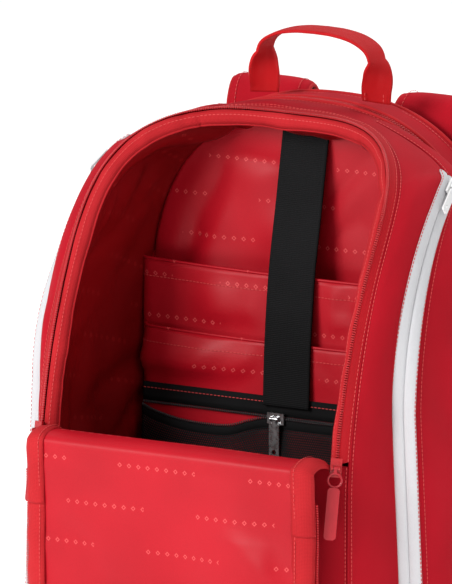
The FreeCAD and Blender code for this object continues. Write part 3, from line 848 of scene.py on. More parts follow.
def swept(name: str, path: Points, up: Points, profile: Points, finish: Any,
          scale: Any = 1.0) -> bpy.types.Object:
    """Sweeps a closed profile along a path.

    Args:
        name: The piece's name.
        path: Centre line in mm.
        up: Outward direction, one or one for each point.
        profile: Sideways and outward offsets in mm.
        finish: The finish.
        scale: Size of the profile, one number or one for each point.

    Returns:
        The object, capped at both ends.
    """
    _, out, side = frames_along(path, up)
    size = np.broadcast_to(np.atleast_1d(scale), (len(path),))[:, None, None]
    offsets = side[:, None] * profile[None, :, :1] + out[:, None] * profile[None, :, 1:]
    rings = path[:, None] + offsets * size
    count = len(profile)
    faces: list[Sequence[int]] = list(grid_faces(len(path), count, around=True))
    faces += [list(range(count))[::-1], [(len(path) - 1) * count + i for i in range(count)]]
    steps = np.linalg.norm(np.diff(path, axis=0), axis=1)
    v = np.concatenate([[0.0], np.cumsum(steps)])
    uvs = np.stack(np.broadcast_arrays(profile[None, :, 0], v[:, None]), axis=2).reshape(-1, 2)
    return mesh_piece(name, rings.reshape(-1, 3), faces, finish, uvs)


def round_profile(width: float, height: float, count: int = 10, power: float = 2.0) -> Points:
    """Returns an oval, squarer with a higher power."""
    angle = np.linspace(0.0, 2 * math.pi, count, endpoint=False)
    c, s = np.cos(angle), np.sin(angle)
    return np.stack([np.sign(c) * np.abs(c) ** (2 / power) * width / 2,
                     np.sign(s) * np.abs(s) ** (2 / power) * height / 2], axis=1)


def piping(name: str, path: Points, size: float, finish: Any) -> bpy.types.Object:
    """Makes a round cord or rolled hem along a seam."""
    return swept(name, path, np.array([0.3, -0.2, 0.93]), round_profile(size, size, 8), finish)


def beads(name: str, path: Points, up: Points, pitch: float, block: tuple[float, float, float], finish: Any,
          shift: float = 0.0) -> bpy.types.Object:
    """Repeats a small rounded block along a path, as stitches or coil teeth.

    Args:
        name: The piece's name.
        path: Centre line in mm.
        up: Outward direction, one or one for each point.
        pitch: Distance between blocks in mm.
        block: Size along, sideways and outward in mm.
        finish: The finish.
        shift: Sideways offset of every second block.

    Returns:
        One object holding every block.
    """
    steps = np.linalg.norm(np.diff(path, axis=0), axis=1)
    total = float(steps.sum())
    count = max(2, int(total / pitch))
    shares = (np.arange(count) + 0.5) / count
    spots = resample(path, shares)
    if np.ndim(up) == 1:
        ups = resample(np.broadcast_to(up, path.shape).copy(), shares)
    else:
        ups = up_along(path, up, shares)
    along, out, side = frames_along(spots, ups)
    ring = round_profile(block[1], block[2], 6)
    stations = np.array([[-0.5, 0.45], [-0.28, 1.0], [0.28, 1.0], [0.5, 0.45]])
    local = np.array([[t * block[0], p[0] * k, p[1] * k] for t, k in stations for p in ring])
    faces: list[list[int]] = [list(f) for f in grid_faces(4, 6, around=True)]
    faces += [list(range(6))[::-1], [18 + i for i in range(6)]]
    offset = ((np.arange(count) % 2) - 0.5)[:, None] * shift
    centre = spots + side * offset
    verts = (centre[:, None] + along[:, None] * local[None, :, :1] + side[:, None] * local[None, :, 1:2]
             + out[:, None] * local[None, :, 2:])
    every = [[i * 24 + n for n in f] for i in range(count) for f in faces]
    return mesh_piece(name, verts.reshape(-1, 3), every, finish)


def up_along(path: Points, ups: Points, shares: Points) -> Points:
    """Returns outward directions read at shares of a path's length."""
    steps = np.linalg.norm(np.diff(path, axis=0), axis=1)
    lengths = np.concatenate([[0.0], np.cumsum(steps)]) / max(float(steps.sum()), 1e-9)
    return unit(np.stack([np.interp(shares, lengths, ups[:, k]) for k in range(3)], axis=1))


def stitch_row(name: str, path: Points, up: Points) -> bpy.types.Object:
    """Sews a row of thread stitches along a path."""
    return beads(name, path, up, 3.4, (2.5, 0.75, 0.5), Finishes.THREAD)


class Crew:
    """Puts pieces on their bodies and logs which body each rides on."""

    @staticmethod
    def ride(body: str, *pieces: bpy.types.Object) -> None:
        """Makes every piece move with a body."""
        for piece in pieces:
            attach(piece, body)
            LOG.info("%s rides on %s", piece.name, body)


def sewn_line(name: str, surface: Surface, share: float, lift: float = 0.25) -> bpy.types.Object:
    """Sews a row of stitches along a surface at a share of its width."""
    return stitch_row(name, surface.line(share, lift), surface.normals_at(share))


# ---- outer shell ------------------------------------------------------------------------------
@dataclass
class Shell:
    """Outer fabric: side panels, front strips, top band, lower front and base."""

    outline: Outline
    rim_band: float = 12.0
    zip_half_width: float = 8.4
    side_bulge: float = 26.0
    fold_share: float = FOLD_SHARE
    front_crown: float = 5.0
    front_corner: float = 11.0

    def build(self) -> None:
        """Builds every outer panel on both sides."""
        shares = np.linspace(0.0, self.outline.panel_end + 0.004, 110)
        rim = resample(self.outline.rim(), shares)
        zip_line = self.outline.outer_guide(shares)
        fade = 1.0 - np.clip((shares - 0.7) / (self.outline.panel_end - 0.7), 0.0, 1.0)
        past = np.clip((shares - self.outline.zip_top_share()) / 0.012, 0.0, 1.0)
        front, _, rear = self.outline.zip_edges(shares, self.zip_half_width)
        front = front * (1.0 - past)[:, None] + toward(zip_line, rim, 0.8) * past[:, None]
        strip = band(front, toward(rim, zip_line, self.rim_band - 1.5), 22, 4.0 * fade + 0.5)
        self.front_strips(strip)
        seam = resample(self.outline.seam(), shares)
        rear = rear * (1.0 - past)[:, None] + toward(zip_line, seam, 0.8) * past[:, None]
        self.side_panels(shares, rear)
        self.top_band()
        self.lower_front()
        self.base()

    def front_strips(self, strip: Surface) -> None:
        """Dresses the strips between the side zips and the main zip."""
        for side, sign in SIDES:
            made = strip.lifted(rumple(strip, 11 + int(sign), 34, 0.8, 9.0) * edge_fade(strip, 9.0))
            made = made if sign > 0 else made.flipped()
            piece = cloth_piece(f"front_strip_cloth_{side}", made, Finishes.FABRIC, 2.4, Finishes.LINING_PAINTED_SHADE)
            hem = piping(f"front_strip_welt_{side}", made.line(0.985, 0.1), 1.7, Finishes.FABRIC)
            Crew.ride("main_body", piece, hem, sewn_line(f"front_strip_stitch_{side}", made, 0.93, 0.3))
            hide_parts(f"front_strip_{side}")

    def side_panels(self, shares: Points, front: Points) -> None:
        """Dresses the bulging side pockets.

        Args:
            shares: Shares of the guides' lengths.
            front: The panels' front edge at those shares.
        """
        seam = resample(self.outline.seam(), shares)
        top = np.clip((shares - 0.6) / (self.outline.panel_end - 0.6), 0.0, 1.0)
        bulge = self.side_bulge * (1.0 - top) + 1.0
        panel = band(toward(seam, front, 0.8), front, 30, bulge)
        creases = rumple(panel, 23, 46, 1.7, 15.0, 0.5) * edge_fade(panel, 24.0)
        for side, sign in SIDES:
            made = panel.lifted(creases)
            made = made if sign > 0 else made.flipped()
            piece = cloth_piece(f"side_panel_cloth_{side}", made, Finishes.FABRIC, 2.0, Finishes.LINING_PAINTED_SHADE)
            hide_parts(f"side_panel_{side}", f"shoulder_panel_{side}")
            stitches = sewn_line(f"side_panel_stitch_{side}", made, 0.965, 0.3)
            welt = piping(f"side_panel_welt_{side}", made.line(0.0, 0.3), 2.6, Finishes.BINDING)
            Crew.ride("main_body", welt)
            for soft in (piece, stitches):
                self.bend(soft, side, sign)

    @staticmethod
    def bend(piece: bpy.types.Object, side: str, sign: float) -> None:
        """Bakes a side panel's piece's placement into its mesh; the piece does not open and rides on no body.
        """
        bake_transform(piece)

    def top_band(self) -> None:
        """Dresses the band over the top, between the main zip and the racket zip."""
        shares = np.linspace(self.outline.panel_end - 0.004, 1.0, 40)
        seam, rim = resample(self.outline.seam(), shares), resample(self.outline.rim(), shares)
        edge = toward(rim, seam, self.rim_band - 1.5)
        seam, edge = (over_the_top(line) for line in (seam, edge))
        made = band(seam, edge, 14, 2.0)
        made = made.lifted(rumple(made, 5, 26, 0.7, 8.0, 1.3) * edge_fade(made, 6.0))
        piece = cloth_piece("top_band_cloth", made, Finishes.FABRIC, 2.4, Finishes.LINING_PAINTED_SHADE)
        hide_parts("top_gusset")
        Crew.ride("main_body", piece, sewn_line("top_band_stitch_front", made, 0.92, 0.3),
                  sewn_line("top_band_stitch_rear", made, 0.09, 0.3),
                  piping("top_band_welt", made.line(0.985, 0.1), 1.7, Finishes.FABRIC))

    def lower_front(self) -> None:
        """Dresses the fixed front below the fold."""
        shares = np.linspace(0.0, self.fold_share - 0.006, 60)
        rim = resample(self.outline.rim(), shares)
        right = toward(rim, self.outline.outer_guide(shares), self.rim_band - 2.0)
        crown = self.front_crown * (1.0 - shares / shares[-1]) + self.front_corner
        made = band(mirrored(right), right, 46, crown, 6.0)
        made = made.lifted(rumple(made, 31, 40, 1.2, 16.0, 1.2) * edge_fade(made, 20.0))
        piece = cloth_piece("front_lower_cloth", made, Finishes.FABRIC, 2.4, Finishes.LINING_PAINTED_SHADE)
        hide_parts("front_lower_panel")
        Crew.ride("main_body", piece)
        for share in (0.035, 0.965):
            Crew.ride("main_body", sewn_line(f"front_lower_stitch_{int(share * 100)}", made, share, 0.3))

    def base(self) -> None:
        """Rolls a binding round the base board's edge."""
        half = [(0, -151, 7.0), (90, -146, 7.0), (136, -134, 7.0), (168, -111, 7.0), (186, -84, 7.0),
                (193, -40, 7.0), (187, 10, 7.0), (159, 56, 7.0)]
        right = spline(half, 60)
        edge = np.concatenate([mirrored(right)[::-1][:-1], right])
        cord = swept("base_binding", edge, UP, round_profile(4.0, 7.5, 10, 3.0), Finishes.BINDING)
        Crew.ride("main_body", cord)


# ---- zips -------------------------------------------------------------------------------------
@dataclass
class Zips:
    """The main zip, the side zips and the racket compartment's zip."""

    outline: Outline
    tape: float = 10.5
    start_share: float = FOLD_SHARE

    def build(self) -> None:
        """Builds every zip of the outer shell."""
        self.main()
        self.side()
        self.racket()

    def main(self) -> None:
        """Builds the body's half of the main zip with its facing inside the rim."""
        shares = np.linspace(self.start_share, 1.0, 180)
        line = over_the_top(resample(self.outline.rim(), shares))
        other = over_the_top(self.outline.outer_guide(shares))
        tape = band(toward(line, other, 1.2), toward(line, other, self.tape + 1.4), 8, 0.5).lifted(0.5)
        piece = cloth_piece("main_zip_tape_cloth", tape, Finishes.TAPE, 1.1)
        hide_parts("main_zip_tape")
        normal = tape.normals()[:, 0]
        coil = beads("main_zip_coil", line + normal * 0.4, normal, COIL_PITCH, (1.35, 3.4, 2.0),
                     Finishes.COIL)
        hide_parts("main_zip_teeth")
        inward = unit(line - other)
        turned = line - normal * 13.0 + inward * 1.5
        facing = Surface(np.stack([line + inward * 0.4 - normal * 1.6, line - normal * 5.0 + inward * 2.4,
                                   line - normal * 9.0 + inward * 2.6, turned], axis=1))
        wave = rumple(facing, 3, 60, 0.9, 7.0, 1.4)
        facing = facing.lifted(wave)
        hem = cloth_piece("main_zip_facing", facing, Finishes.BINDING, 0.9)
        Crew.ride("main_body", piece, coil, hem, sewn_line("main_zip_facing_stitch", facing, 0.33, -0.9),
                  piping("main_zip_facing_roll", facing.line(1.0, 0.0), 2.4, Finishes.BINDING),
                  sewn_line("main_zip_tape_stitch", tape, 0.75, 0.25))

    def side(self) -> None:
        """Builds the white side zips, both halves on both sides."""
        shares = np.linspace(0.0, self.outline.zip_top_share() + 0.006, 130)
        front, line, rear = self.outline.zip_edges(shares, 9.2)
        ends = {"front": front, "rear": rear}
        for side, sign in SIDES:
            for half, other in ends.items():
                made = band(toward(line, other, 0.55), other, 8, 1.0, 4.0).lifted(0.9)
                made = made if sign > 0 else made.flipped()
                tape = cloth_piece(f"side_zip_{half}_tape_{side}", made, Finishes.WHITE_TAPE, 1.6)
                stitch = sewn_line(f"side_zip_{half}_stitch_{side}", made, 0.86, 0.3)
                if half == "front":
                    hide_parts(f"side_zip_front_{side}")
                    Crew.ride("main_body", tape, stitch)
                else:
                    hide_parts(f"side_zip_rear_{side}", f"side_zip_shoulder_{side}")
                    Shell.bend(tape, side, sign)
                    Shell.bend(stitch, side, sign)
            made = line if sign > 0 else mirrored(line)
            core = made - unit(made - INSIDE) * 1.1
            coil = swept(f"side_zip_core_{side}", core, np.array([0.0, -1.0, 0.2]),
                         round_profile(3.0, 1.6, 8), Finishes.BLACK_COIL)
            Crew.ride("main_body", coil)

    def racket(self) -> None:
        """Builds the racket compartment's zip over the arch."""
        shares = np.linspace(0.0, 1.0, 170)
        seam = over_the_top(resample(self.outline.seam(), shares))
        rise = np.maximum(seam[:, 2] - 300.0, 0.0) * 0.9
        out = unit(np.stack([seam[:, 0], np.zeros(len(seam)), rise], axis=1))
        halves = (("front", "main_body", 0.6, 5.6), ("rear", "rear_shell", 6.4, 11.6))
        for half, body, near, far in halves:
            rows = np.stack([seam + np.array([0.0, near, 0.0]),
                             seam + np.array([0.0, (near + far) / 2, 0.0]) + out * 0.5,
                             seam + np.array([0.0, far, 0.0])], axis=1)
            made = Surface(rows).lifted(0.2)
            tape = cloth_piece(f"racket_zip_{half}_tape", made, Finishes.TAPE, 1.0)
            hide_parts(f"racket_zip_{half}")
            welt_y = near - 0.6 if half == "front" else far + 0.5
            welt = piping(f"racket_zip_{half}_welt", seam + np.array([0.0, welt_y, 0.0]) + out, 3.4,
                          Finishes.BINDING)
            coil_y = 4.5 if half == "front" else 7.5
            coil = beads(f"racket_zip_{half}_coil", seam + np.array([0.0, coil_y, 0.0]) + out, out,
                         2.4, (1.5, 2.3, 1.7), Finishes.COIL)
            Crew.ride(body, tape, welt, coil)


# ---- front flap -------------------------------------------------------------------------------
@dataclass
class Flap:
    """The fold-down front, hanging open with its lining outward."""

    outline: Outline
    fold_y: float = -155.5
    fold_z: float = 232.0
    splits: tuple[float, float] = (320.0, 425.0)
    turns: tuple[float, float, float] = (194.5, 13.0, -53.0)
    inset: float = 13.6
    zip_from: float = 250.0
    top_z: float = 477.0
    columns: int = 56
    stations: int = 150
    roll_depth: float = 17.0
    roll_rise: float = 8.0

    def opened(self, points: Points, section: int) -> Points:
        """Returns closed points of one section turned to the open pose."""
        pivots = [(self.fold_y, self.fold_z)] + [(float(self.outline.rim_y(z)) + 1.2, z) for z in self.splits]
        for k in range(section, -1, -1):
            turn = math.radians(self.turns[k])
            dy, dz = points[..., 1] - pivots[k][0], points[..., 2] - pivots[k][1]
            y = pivots[k][0] + dy * math.cos(turn) - dz * math.sin(turn)
            z = pivots[k][1] + dy * math.sin(turn) + dz * math.cos(turn)
            points = np.stack([points[..., 0], y, z], axis=-1)
        return points

    def section_of(self, z: float) -> int:
        """Returns which section a closed height belongs to."""
        return int(z > self.splits[0]) + int(z > self.splits[1])

    def profile(self) -> tuple[Points, Points]:
        """Returns the open flap's profile from the fold to its tip, and the closed heights along it."""
        heights = [240.0, 262.0, 285.0, 306.0, 334.0, 360.0, 386.0, 410.0, 438.0, 452.0, 466.0, self.top_z]
        knots = [self.opened(np.array([0.0, float(self.outline.rim_y(z)), z]), self.section_of(z))
                 for z in heights]
        curve = spline([k.tolist() for k in knots], 400)
        spots = np.array(knots)
        nearest = [int(np.argmin(np.linalg.norm(curve - s, axis=1))) for s in spots]
        closed = np.interp(np.arange(400), nearest, heights)
        return curve, closed

    def half_width(self, z: Points, inset: float) -> Points:
        """Returns the flap's half width at closed heights, at an inset from the rim."""
        half, rise = self.outline.rim_half - inset, self.outline.rim_rise - 0.28 * inset
        up = np.clip((z - self.outline.rim_shoulder) / rise, 0.0, 0.9999)
        return half * (1.0 - up ** self.outline.rim_power) ** (1.0 / self.outline.rim_power)

    def roll(self) -> Points:
        """Returns the profile of the soft roll from the fixed front over to the flap."""
        turn = np.linspace(0.0, math.pi, 30)
        y = self.fold_y + self.roll_depth * np.cos(turn)
        z = self.fold_z + 1.0 + self.roll_rise * np.sin(turn)
        return np.stack([np.zeros(30), y, z], axis=1)

    def sheet(self) -> tuple[Surface, Points]:
        """Returns the open flap's lining side from the fixed front to the tip, and its closed heights."""
        curve, closed = self.profile()
        roll = self.roll()
        curve = np.concatenate([roll[:-2], curve[8:]])
        closed = np.concatenate([np.full(28, self.fold_z), closed[8:]])
        tip = self.outline.rim_shoulder + self.outline.rim_rise - 0.28 * self.inset
        closed = np.minimum(closed, tip - 0.02)
        lengths = np.concatenate([[0.0], np.cumsum(np.linalg.norm(np.diff(curve, axis=0), axis=1))])
        spread = np.linspace(0.0, 1.0, self.stations)
        closed = np.interp(spread * lengths[-1], lengths, closed)
        curve = resample(curve, spread)
        half = self.half_width(closed, self.inset)
        k = np.linspace(-1.0, 1.0, self.columns)
        rows = np.repeat(curve[:, None], self.columns, axis=1)
        rows[..., 0] = half[:, None] * k[None, :]
        return Surface(rows, np.array([0.0, -60.0, 120.0])), closed

    def build(self) -> None:
        """Builds the flap's lining, fabric, binding and half of the zip."""
        sheet, closed = self.sheet()
        fade = edge_fade(sheet, 30.0)
        soft = rumple(sheet, 41, 34, 3.4, 30.0, 0.5) + rumple(sheet, 43, 26, 2.0, 15.0, 1.1)
        soft = soft + rumple(sheet, 77, 60, 0.7, 8.0, 1.3)
        low = np.clip((self.fold_z - sheet.rows[..., 2]) / 60.0, 0.15, 1.0)
        lining = sheet.lifted(soft * fade * low - 2.0 * edge_fade(sheet, 90.0) * low)
        rows = (int(np.argmin(np.abs(closed - (self.fold_z + self.splits[0]) / 2))),
                int(np.argmin(np.abs(closed - sum(self.splits) / 2))))
        spans = (("main_body", "flap_lower", 0, rows[0] + 1, "lower"),
                 ("flap_lower", "flap_middle", rows[0], rows[1] + 1, "middle"),
                 ("flap_middle", "flap_upper", rows[1], self.stations, "upper"))
        for first, second, start, stop, name in spans:
            self.cloths(sheet, lining, (start, stop), name, (first, second))
            if name != "upper":
                for side, _ in SIDES:
                    self.edge_trim(sheet.part(start, stop), closed[start:stop], side, name, (first, second))
            else:
                self.tip(sheet, start, (first, second))

    def attach(self, piece: bpy.types.Object, bodies: tuple[str, str]) -> None:
        """Bakes a piece's placement into its mesh; the piece neither bends nor rides on either body."""
        if bodies[0] == "main_body":
            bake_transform(piece)
            return
        section = 0 if bodies[1] == "flap_middle" else 1
        pivot = self.splits[section]
        low, high = (self.opened(np.array([0.0, float(self.outline.rim_y(z)), z]), k)
                     for z, k in ((pivot - 16.0, section), (pivot + 16.0, section + 1)))
        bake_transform(piece)

    def cloths(self, sheet: Surface, lining: Surface, span: tuple[int, int], name: str,
               bodies: tuple[str, str]) -> None:
        """Dresses part of the flap with its lining and outer fabric.

        Args:
            sheet: The flap's even middle surface.
            lining: Its creased lining side.
            span: First and last row.
            name: Ending of the pieces' names.
            bodies: The two bodies of the joint at this part, handed to attach.
        """
        face = cloth_piece(f"flap_lining_{name}", lining.part(*span), Finishes.LINING, 0.0)
        back = cloth_piece(f"flap_outer_{name}", sheet.part(*span).lifted(-4.4), Finishes.FABRIC, 0.8)
        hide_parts(f"flap_{name}_panel")
        for piece in (face, back):
            self.attach(piece, bodies)

    def edge_trim(self, sheet: Surface, closed: Points, side: str, name: str,
                  bodies: tuple[str, str]) -> None:
        """Trims one side edge with binding, tape and coil.

        Args:
            sheet: Part of the flap.
            closed: The closed heights of its rows.
            side: Which side.
            name: Which part.
            bodies: The two bodies of the joint at this part, handed to attach.
        """
        column = -1 if side == "right" else 0
        edge, normal = sheet.rows[:, column], sheet.normals()[:, column]
        out = np.array([[1.0 if side == "right" else -1.0, 0.0, 0.0]])
        profile = ((-8.0, 1.2), (-4.0, 2.2), (1.0, 2.4), (5.0, 1.4), (8.4, -1.2), (10.6, -4.6))
        rows = np.stack([edge + out * across + normal * up for across, up in profile], axis=1)
        made = Surface(rows, sheet.inside)
        made = made.lifted(rumple(made, 13, 26, 0.6, 6.0, 1.4))
        label = f"{name}_{side}"
        tape = cloth_piece(f"flap_tape_{label}", made, Finishes.BINDING, 1.2)
        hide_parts(f"flap_{name}_zip")
        zipped = closed > self.zip_from
        coil_line = (edge + out * 11.4 - normal * 6.2)[zipped]
        coil = beads(f"flap_coil_{label}", coil_line, unit(out * 0.8 - normal * 0.6)[zipped], COIL_PITCH,
                     FLAP_TOOTH, Finishes.COIL)
        stitch = stitch_row(f"flap_tape_stitch_{label}", edge - out * 4.4 + normal * 2.6, normal)
        for piece in (tape, coil, stitch):
            self.attach(piece, bodies)

    def tip(self, sheet: Surface, low: int, bodies: tuple[str, str]) -> None:
        """Trims the flap's end with one band that runs round its tip.

        Args:
            sheet: The flap's surface.
            low: First row of its last part.
            bodies: The two bodies of the joint at this part, handed to attach.
        """
        rows = sheet.rows[low:]
        middle = rows[0, rows.shape[1] // 2]
        right = np.concatenate([rows[:, -1], rows[-1, rows.shape[1] // 2:][::-1][1:]])
        right = resample(right, np.linspace(0.0, 1.0, 110))
        edge = np.concatenate([right, mirrored(right)[::-1][1:]])
        along = unit(np.gradient(edge, axis=0))
        normal = unit(np.cross(along, np.array([[0.0, 0.9, -0.45]])))
        out = np.where(np.sum(normal * (edge - middle), axis=1, keepdims=True) > 0, normal, -normal)
        face = unit(np.cross(along, out))
        face = np.where(face[:, 2:] - face[:, 1:2] > 0, face, -face)
        profile = ((-7.0, 1.8), (-1.0, 2.4), (4.0, 1.6), (9.0, -0.6))
        made = Surface(np.stack([edge + out * across + face * up for across, up in profile], axis=1),
                       np.array([0.0, -60.0, -120.0]))
        tape = cloth_piece("flap_tape_tip", made, Finishes.BINDING, 1.2)
        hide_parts("flap_upper_zip")
        coil = beads("flap_coil_tip", edge + out * 10.4 - face * 0.8, face, COIL_PITCH, FLAP_TOOTH,
                     Finishes.COIL)
        stitch = stitch_row("flap_tape_stitch_tip", edge - out * 3.4 + face * 2.6, face)
        for piece in (tape, coil, stitch):
            self.attach(piece, bodies)


# ---- inside -----------------------------------------------------------------------------------
def tray(half: float, front: float, back: float, corner: float, columns: int) -> Points:
    """Returns a pocket's plan: back edge, rounded corner, front, corner, back edge.

    Args:
        half: Half its width in mm.
        front: Y of its front.
        back: Y of its sewn edges.
        corner: Radius of its corners.
        columns: Number of points.

    Returns:
        The plan's points as x and y.
    """
    turn = np.linspace(0.0, math.pi / 2, 7)
    bend = np.stack([-half + corner - corner * np.cos(turn), front + corner - corner * np.sin(turn)], axis=1)
    left = np.concatenate([[[-half, back]], bend])
    plan = np.concatenate([left, left[::-1] * np.array([-1.0, 1.0])])
    return resample(plan, np.linspace(0.0, 1.0, columns))


@dataclass
class Interior:
    """Lining, divider, laptop sleeve, slip pocket, mesh pocket and elastic strap."""

    outline: Outline
    divider_y: float = 53.4
    floor_z: float = 8.0
    sleeve_top: float = 345.0
    slip_top: float = 291.0
    tunnel_columns: int = 34

    def build(self) -> None:
        """Builds everything seen through the open front."""
        self.tunnel()
        self.divider()
        self.floor()
        self.pocket("laptop_sleeve", 143.0, 30.6, self.sleeve_top, 61, self.slip_top + 4.0)
        self.pocket("slip_pocket", 137.0, 23.2, self.slip_top, 62, 249.0)
        self.mesh_pocket()
        self.elastic()

    def tunnel(self) -> None:
        """Hangs the lining between the rim and the divider, up one side, over the top and down the other."""
        shares = np.linspace(0.0, 1.0, 150)
        rim = resample(self.outline.rim(), shares)
        guide = self.outline.outer_guide(shares)
        seam = resample(self.outline.seam(self.divider_y, 10.0), shares)
        core = np.stack([np.zeros(len(rim)), (rim[:, 1] + seam[:, 1]) / 2, np.minimum(rim[:, 2], 370.0)],
                        axis=1)
        front = toward(rim, guide, 2.0) + unit(core - rim) * 9.0
        bow = toward((guide * 0.8 + (rim + seam) * 0.1), core, 17.0)
        front, bow, seam = (over_the_top(c) for c in (front, bow, seam))
        k = np.linspace(0.0, 1.0, self.tunnel_columns)[None, :, None]
        middle = bow * 2.0 - (front + seam) * 0.5
        rows = front[:, None] * (1 - k) ** 2 + middle[:, None] * 2 * k * (1 - k) + seam[:, None] * k ** 2
        rows = rows * 0.55 + 0.45 * np.where(k < 0.5, front[:, None] * (1 - 2 * k) + bow[:, None] * 2 * k,
                                             bow[:, None] * (2 - 2 * k) + seam[:, None] * (2 * k - 1))
        made = Surface(rows)
        soft = rumple(made, 19, 80, 6.0, 17.0, 0.9) + rumple(made, 29, 110, 2.4, 8.0, 0.3)
        made = made.lifted(-np.abs(soft) * edge_fade(made, 14.0))
        # The walls take the lining darkened with painted shade.
        piece = cloth_piece("tunnel_lining", made, Finishes.LINING_PAINTED_SHADE, 1.0)
        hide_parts("inner_wall_left", "inner_wall_right")
        Crew.ride("main_body", piece)

    def half_at(self, heights: Points, inset: float) -> Points:
        """Returns the divider's half width at each height."""
        curve = self.outline.seam(self.divider_y, inset)
        return np.interp(heights, curve[:, 2], curve[:, 0])

    def divider(self) -> None:
        """Hangs the divider's lining, the compartment's back wall."""
        top = self.outline.seam(self.divider_y, 11.0)[-1, 2]
        share = np.linspace(0.0, 1.0, 90)
        heights = self.floor_z + (top - 0.4 - self.floor_z) * (1.0 - (1.0 - share) ** 1.5)
        half = self.half_at(heights, 10.0)
        k = np.linspace(-1.0, 1.0, 70)
        places = np.broadcast_arrays(half[:, None] * k[None, :], self.divider_y, heights[:, None])
        rows = np.stack(places, axis=2)
        made = Surface(rows, np.array([0.0, 200.0, 240.0]))
        soft = rumple(made, 50, 60, 4.2, 20.0, 0.4) + rumple(made, 52, 60, 1.8, 9.0, 1.0)
        made = made.lifted((np.abs(soft) - 1.2) * edge_fade(made, 20.0))
        piece = cloth_piece("divider_lining", made, Finishes.LINING, 2.2)
        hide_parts("divider_panel")
        Crew.ride("main_body", piece)

    def floor(self) -> None:
        """Lays the lining on the base."""
        plan = [(0.0, -144.0), (60, -142), (104, -134), (140, -112), (160, -84), (166, -40), (160, 10),
                (148, 52)]
        right = spline([(x, y, self.floor_z) for x, y in plan], 50)
        k = np.linspace(-1.0, 1.0, 30)
        rows = np.repeat(right[:, None], 30, axis=1)
        rows[..., 0] = right[:, 0][:, None] * k[None, :]
        made = Surface(rows, np.array([0.0, 0.0, -60.0]))
        made = made.lifted(np.abs(rumple(made, 70, 24, 2.2, 20.0, 0.5)) * edge_fade(made, 14.0))
        # The floor takes the lining darkened with painted shade.
        Crew.ride("main_body", cloth_piece("floor_lining", made, Finishes.LINING_PAINTED_SHADE, 0.9))

    def pocket(self, name: str, half: float, front: float, top: float, seed: int, clear: float) -> None:
        """Sews a lining pocket to the divider, with a hemmed upper edge.

        Args:
            name: The CAD node it replaces.
            half: Half its width in mm.
            front: Y of its front.
            top: Height of its upper edge.
            seed: Chooses its creases.
            clear: Height above which nothing lies in front of it.
        """
        plan = tray(half, front, self.divider_y - 0.6, 9.0, 74)
        share = np.linspace(0.0, 1.0, 60)
        heights = self.floor_z + 0.5 + (top - self.floor_z - 0.5) * share
        rows = np.repeat(plan[None], len(share), axis=0)
        rows = np.concatenate([rows, np.broadcast_to(heights[:, None, None], (60, 74, 1))], axis=2)
        sag = np.clip((share - 0.75) / 0.25, 0.0, 1.0)[:, None] ** 2
        sag = sag * (1.0 - (plan[:, 0] / half) ** 2)[None, :]
        made = Surface(rows, np.array([0.0, 200.0, 200.0]))
        soft = np.abs(rumple(made, seed, 70, 3.4, 15.0, 0.6))
        soft = soft + np.abs(rumple(made, seed + 20, 90, 1.3, 6.0, 1.0))
        room = np.clip((made.rows[..., 2] - clear) / 14.0, 0.1, 1.0)
        room = room * np.clip((np.abs(made.rows[..., 0]) - 24.0) / 14.0, 0.15, 1.0)
        made = made.lifted(soft * edge_fade(made, 16.0) * room)
        made.rows[..., 2] -= sag * 2.4
        piece = cloth_piece(f"{name}_cloth", made, Finishes.LINING, 1.3)
        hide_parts(name)
        rim = made.rows[-1]
        hem = piping(f"{name}_hem", rim + np.array([0.0, 0.0, -0.6]), 2.4, Finishes.LINING)
        rows_up = made.turned()
        Crew.ride("main_body", piece, hem, sewn_line(f"{name}_stitch", rows_up, 0.955, 0.3))

    def mesh_edge(self) -> Points:
        """Returns the sagging upper edge of the mesh pocket's front."""
        knots = [(-134, 19, 222), (-118, 15, 218), (-88, 10.5, 214.5), (-52, 11, 214.5), (-34, 15.5, 219.5),
                 (-19, 19, 222.8), (10, 19, 223), (70, 19, 223), (134, 19, 223)]
        return spline(knots, 120)

    def mesh_pocket(self) -> None:
        """Builds the black mesh pocket with its zip, open on the left of the slider."""
        edge = self.mesh_edge()
        upper = np.stack([edge[:, 0], np.full(120, 20.6), np.full(120, 229.6)], axis=1)
        top_tape = Surface(np.stack([upper + UP * h for h in (0.0, 5.0, 10.0, 15.0)], axis=1),
                           np.array([0.0, 90.0, 230.0]))
        low_tape = Surface(np.stack([edge + UP * h for h in (-4.0, 0.0, 3.4)], axis=1),
                           np.array([0.0, 90.0, 220.0]))
        pieces = [cloth_piece("mesh_zip_upper_tape", top_tape, Finishes.BLACK_TAPE, 1.4),
                  cloth_piece("mesh_zip_lower_tape", low_tape, Finishes.BLACK_TAPE, 1.4)]
        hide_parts("mesh_zip_upper")
        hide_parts("mesh_zip_lower")
        for name, line in (("upper", upper - UP * 1.2 + FORWARD * 0.6), ("lower", edge + UP * 4.4)):
            pieces.append(beads(f"mesh_zip_{name}_coil", line, FORWARD, COIL_PITCH, (1.3, 2.6, 2.0),
                                Finishes.BLACK_COIL))
        pieces.append(sewn_line("mesh_zip_upper_stitch", top_tape, 0.7, 0.3))
        pieces.append(self.netting(edge))
        Crew.ride("main_body", *pieces)

    def netting(self, edge: Points) -> bpy.types.Object:
        """Returns the pocket's mesh front, hanging from its zip to the floor."""
        share = np.linspace(0.0, 1.0, 46)[:, None]
        start = edge - np.array([0.0, 0.0, 3.6])
        low = np.stack([edge[:, 0], np.full(120, 14.6), np.full(120, self.floor_z)], axis=1)
        rows = start[None] * (1 - share[..., None]) + low[None] * share[..., None]
        flat = (1.0 - (edge[:, 0] / 134.0) ** 2)[None, :]
        rows[..., 1] -= 5.0 * np.sin(math.pi * share) * flat
        made = Surface(rows, np.array([0.0, 90.0, 120.0]))
        made = made.lifted(rumple(made, 90, 30, 1.6, 14.0, 0.4) * edge_fade(made, 12.0))
        piece = cloth_piece("mesh_pocket_net", made, Finishes.MESH, 0.5)
        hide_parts("mesh_pocket")
        return piece

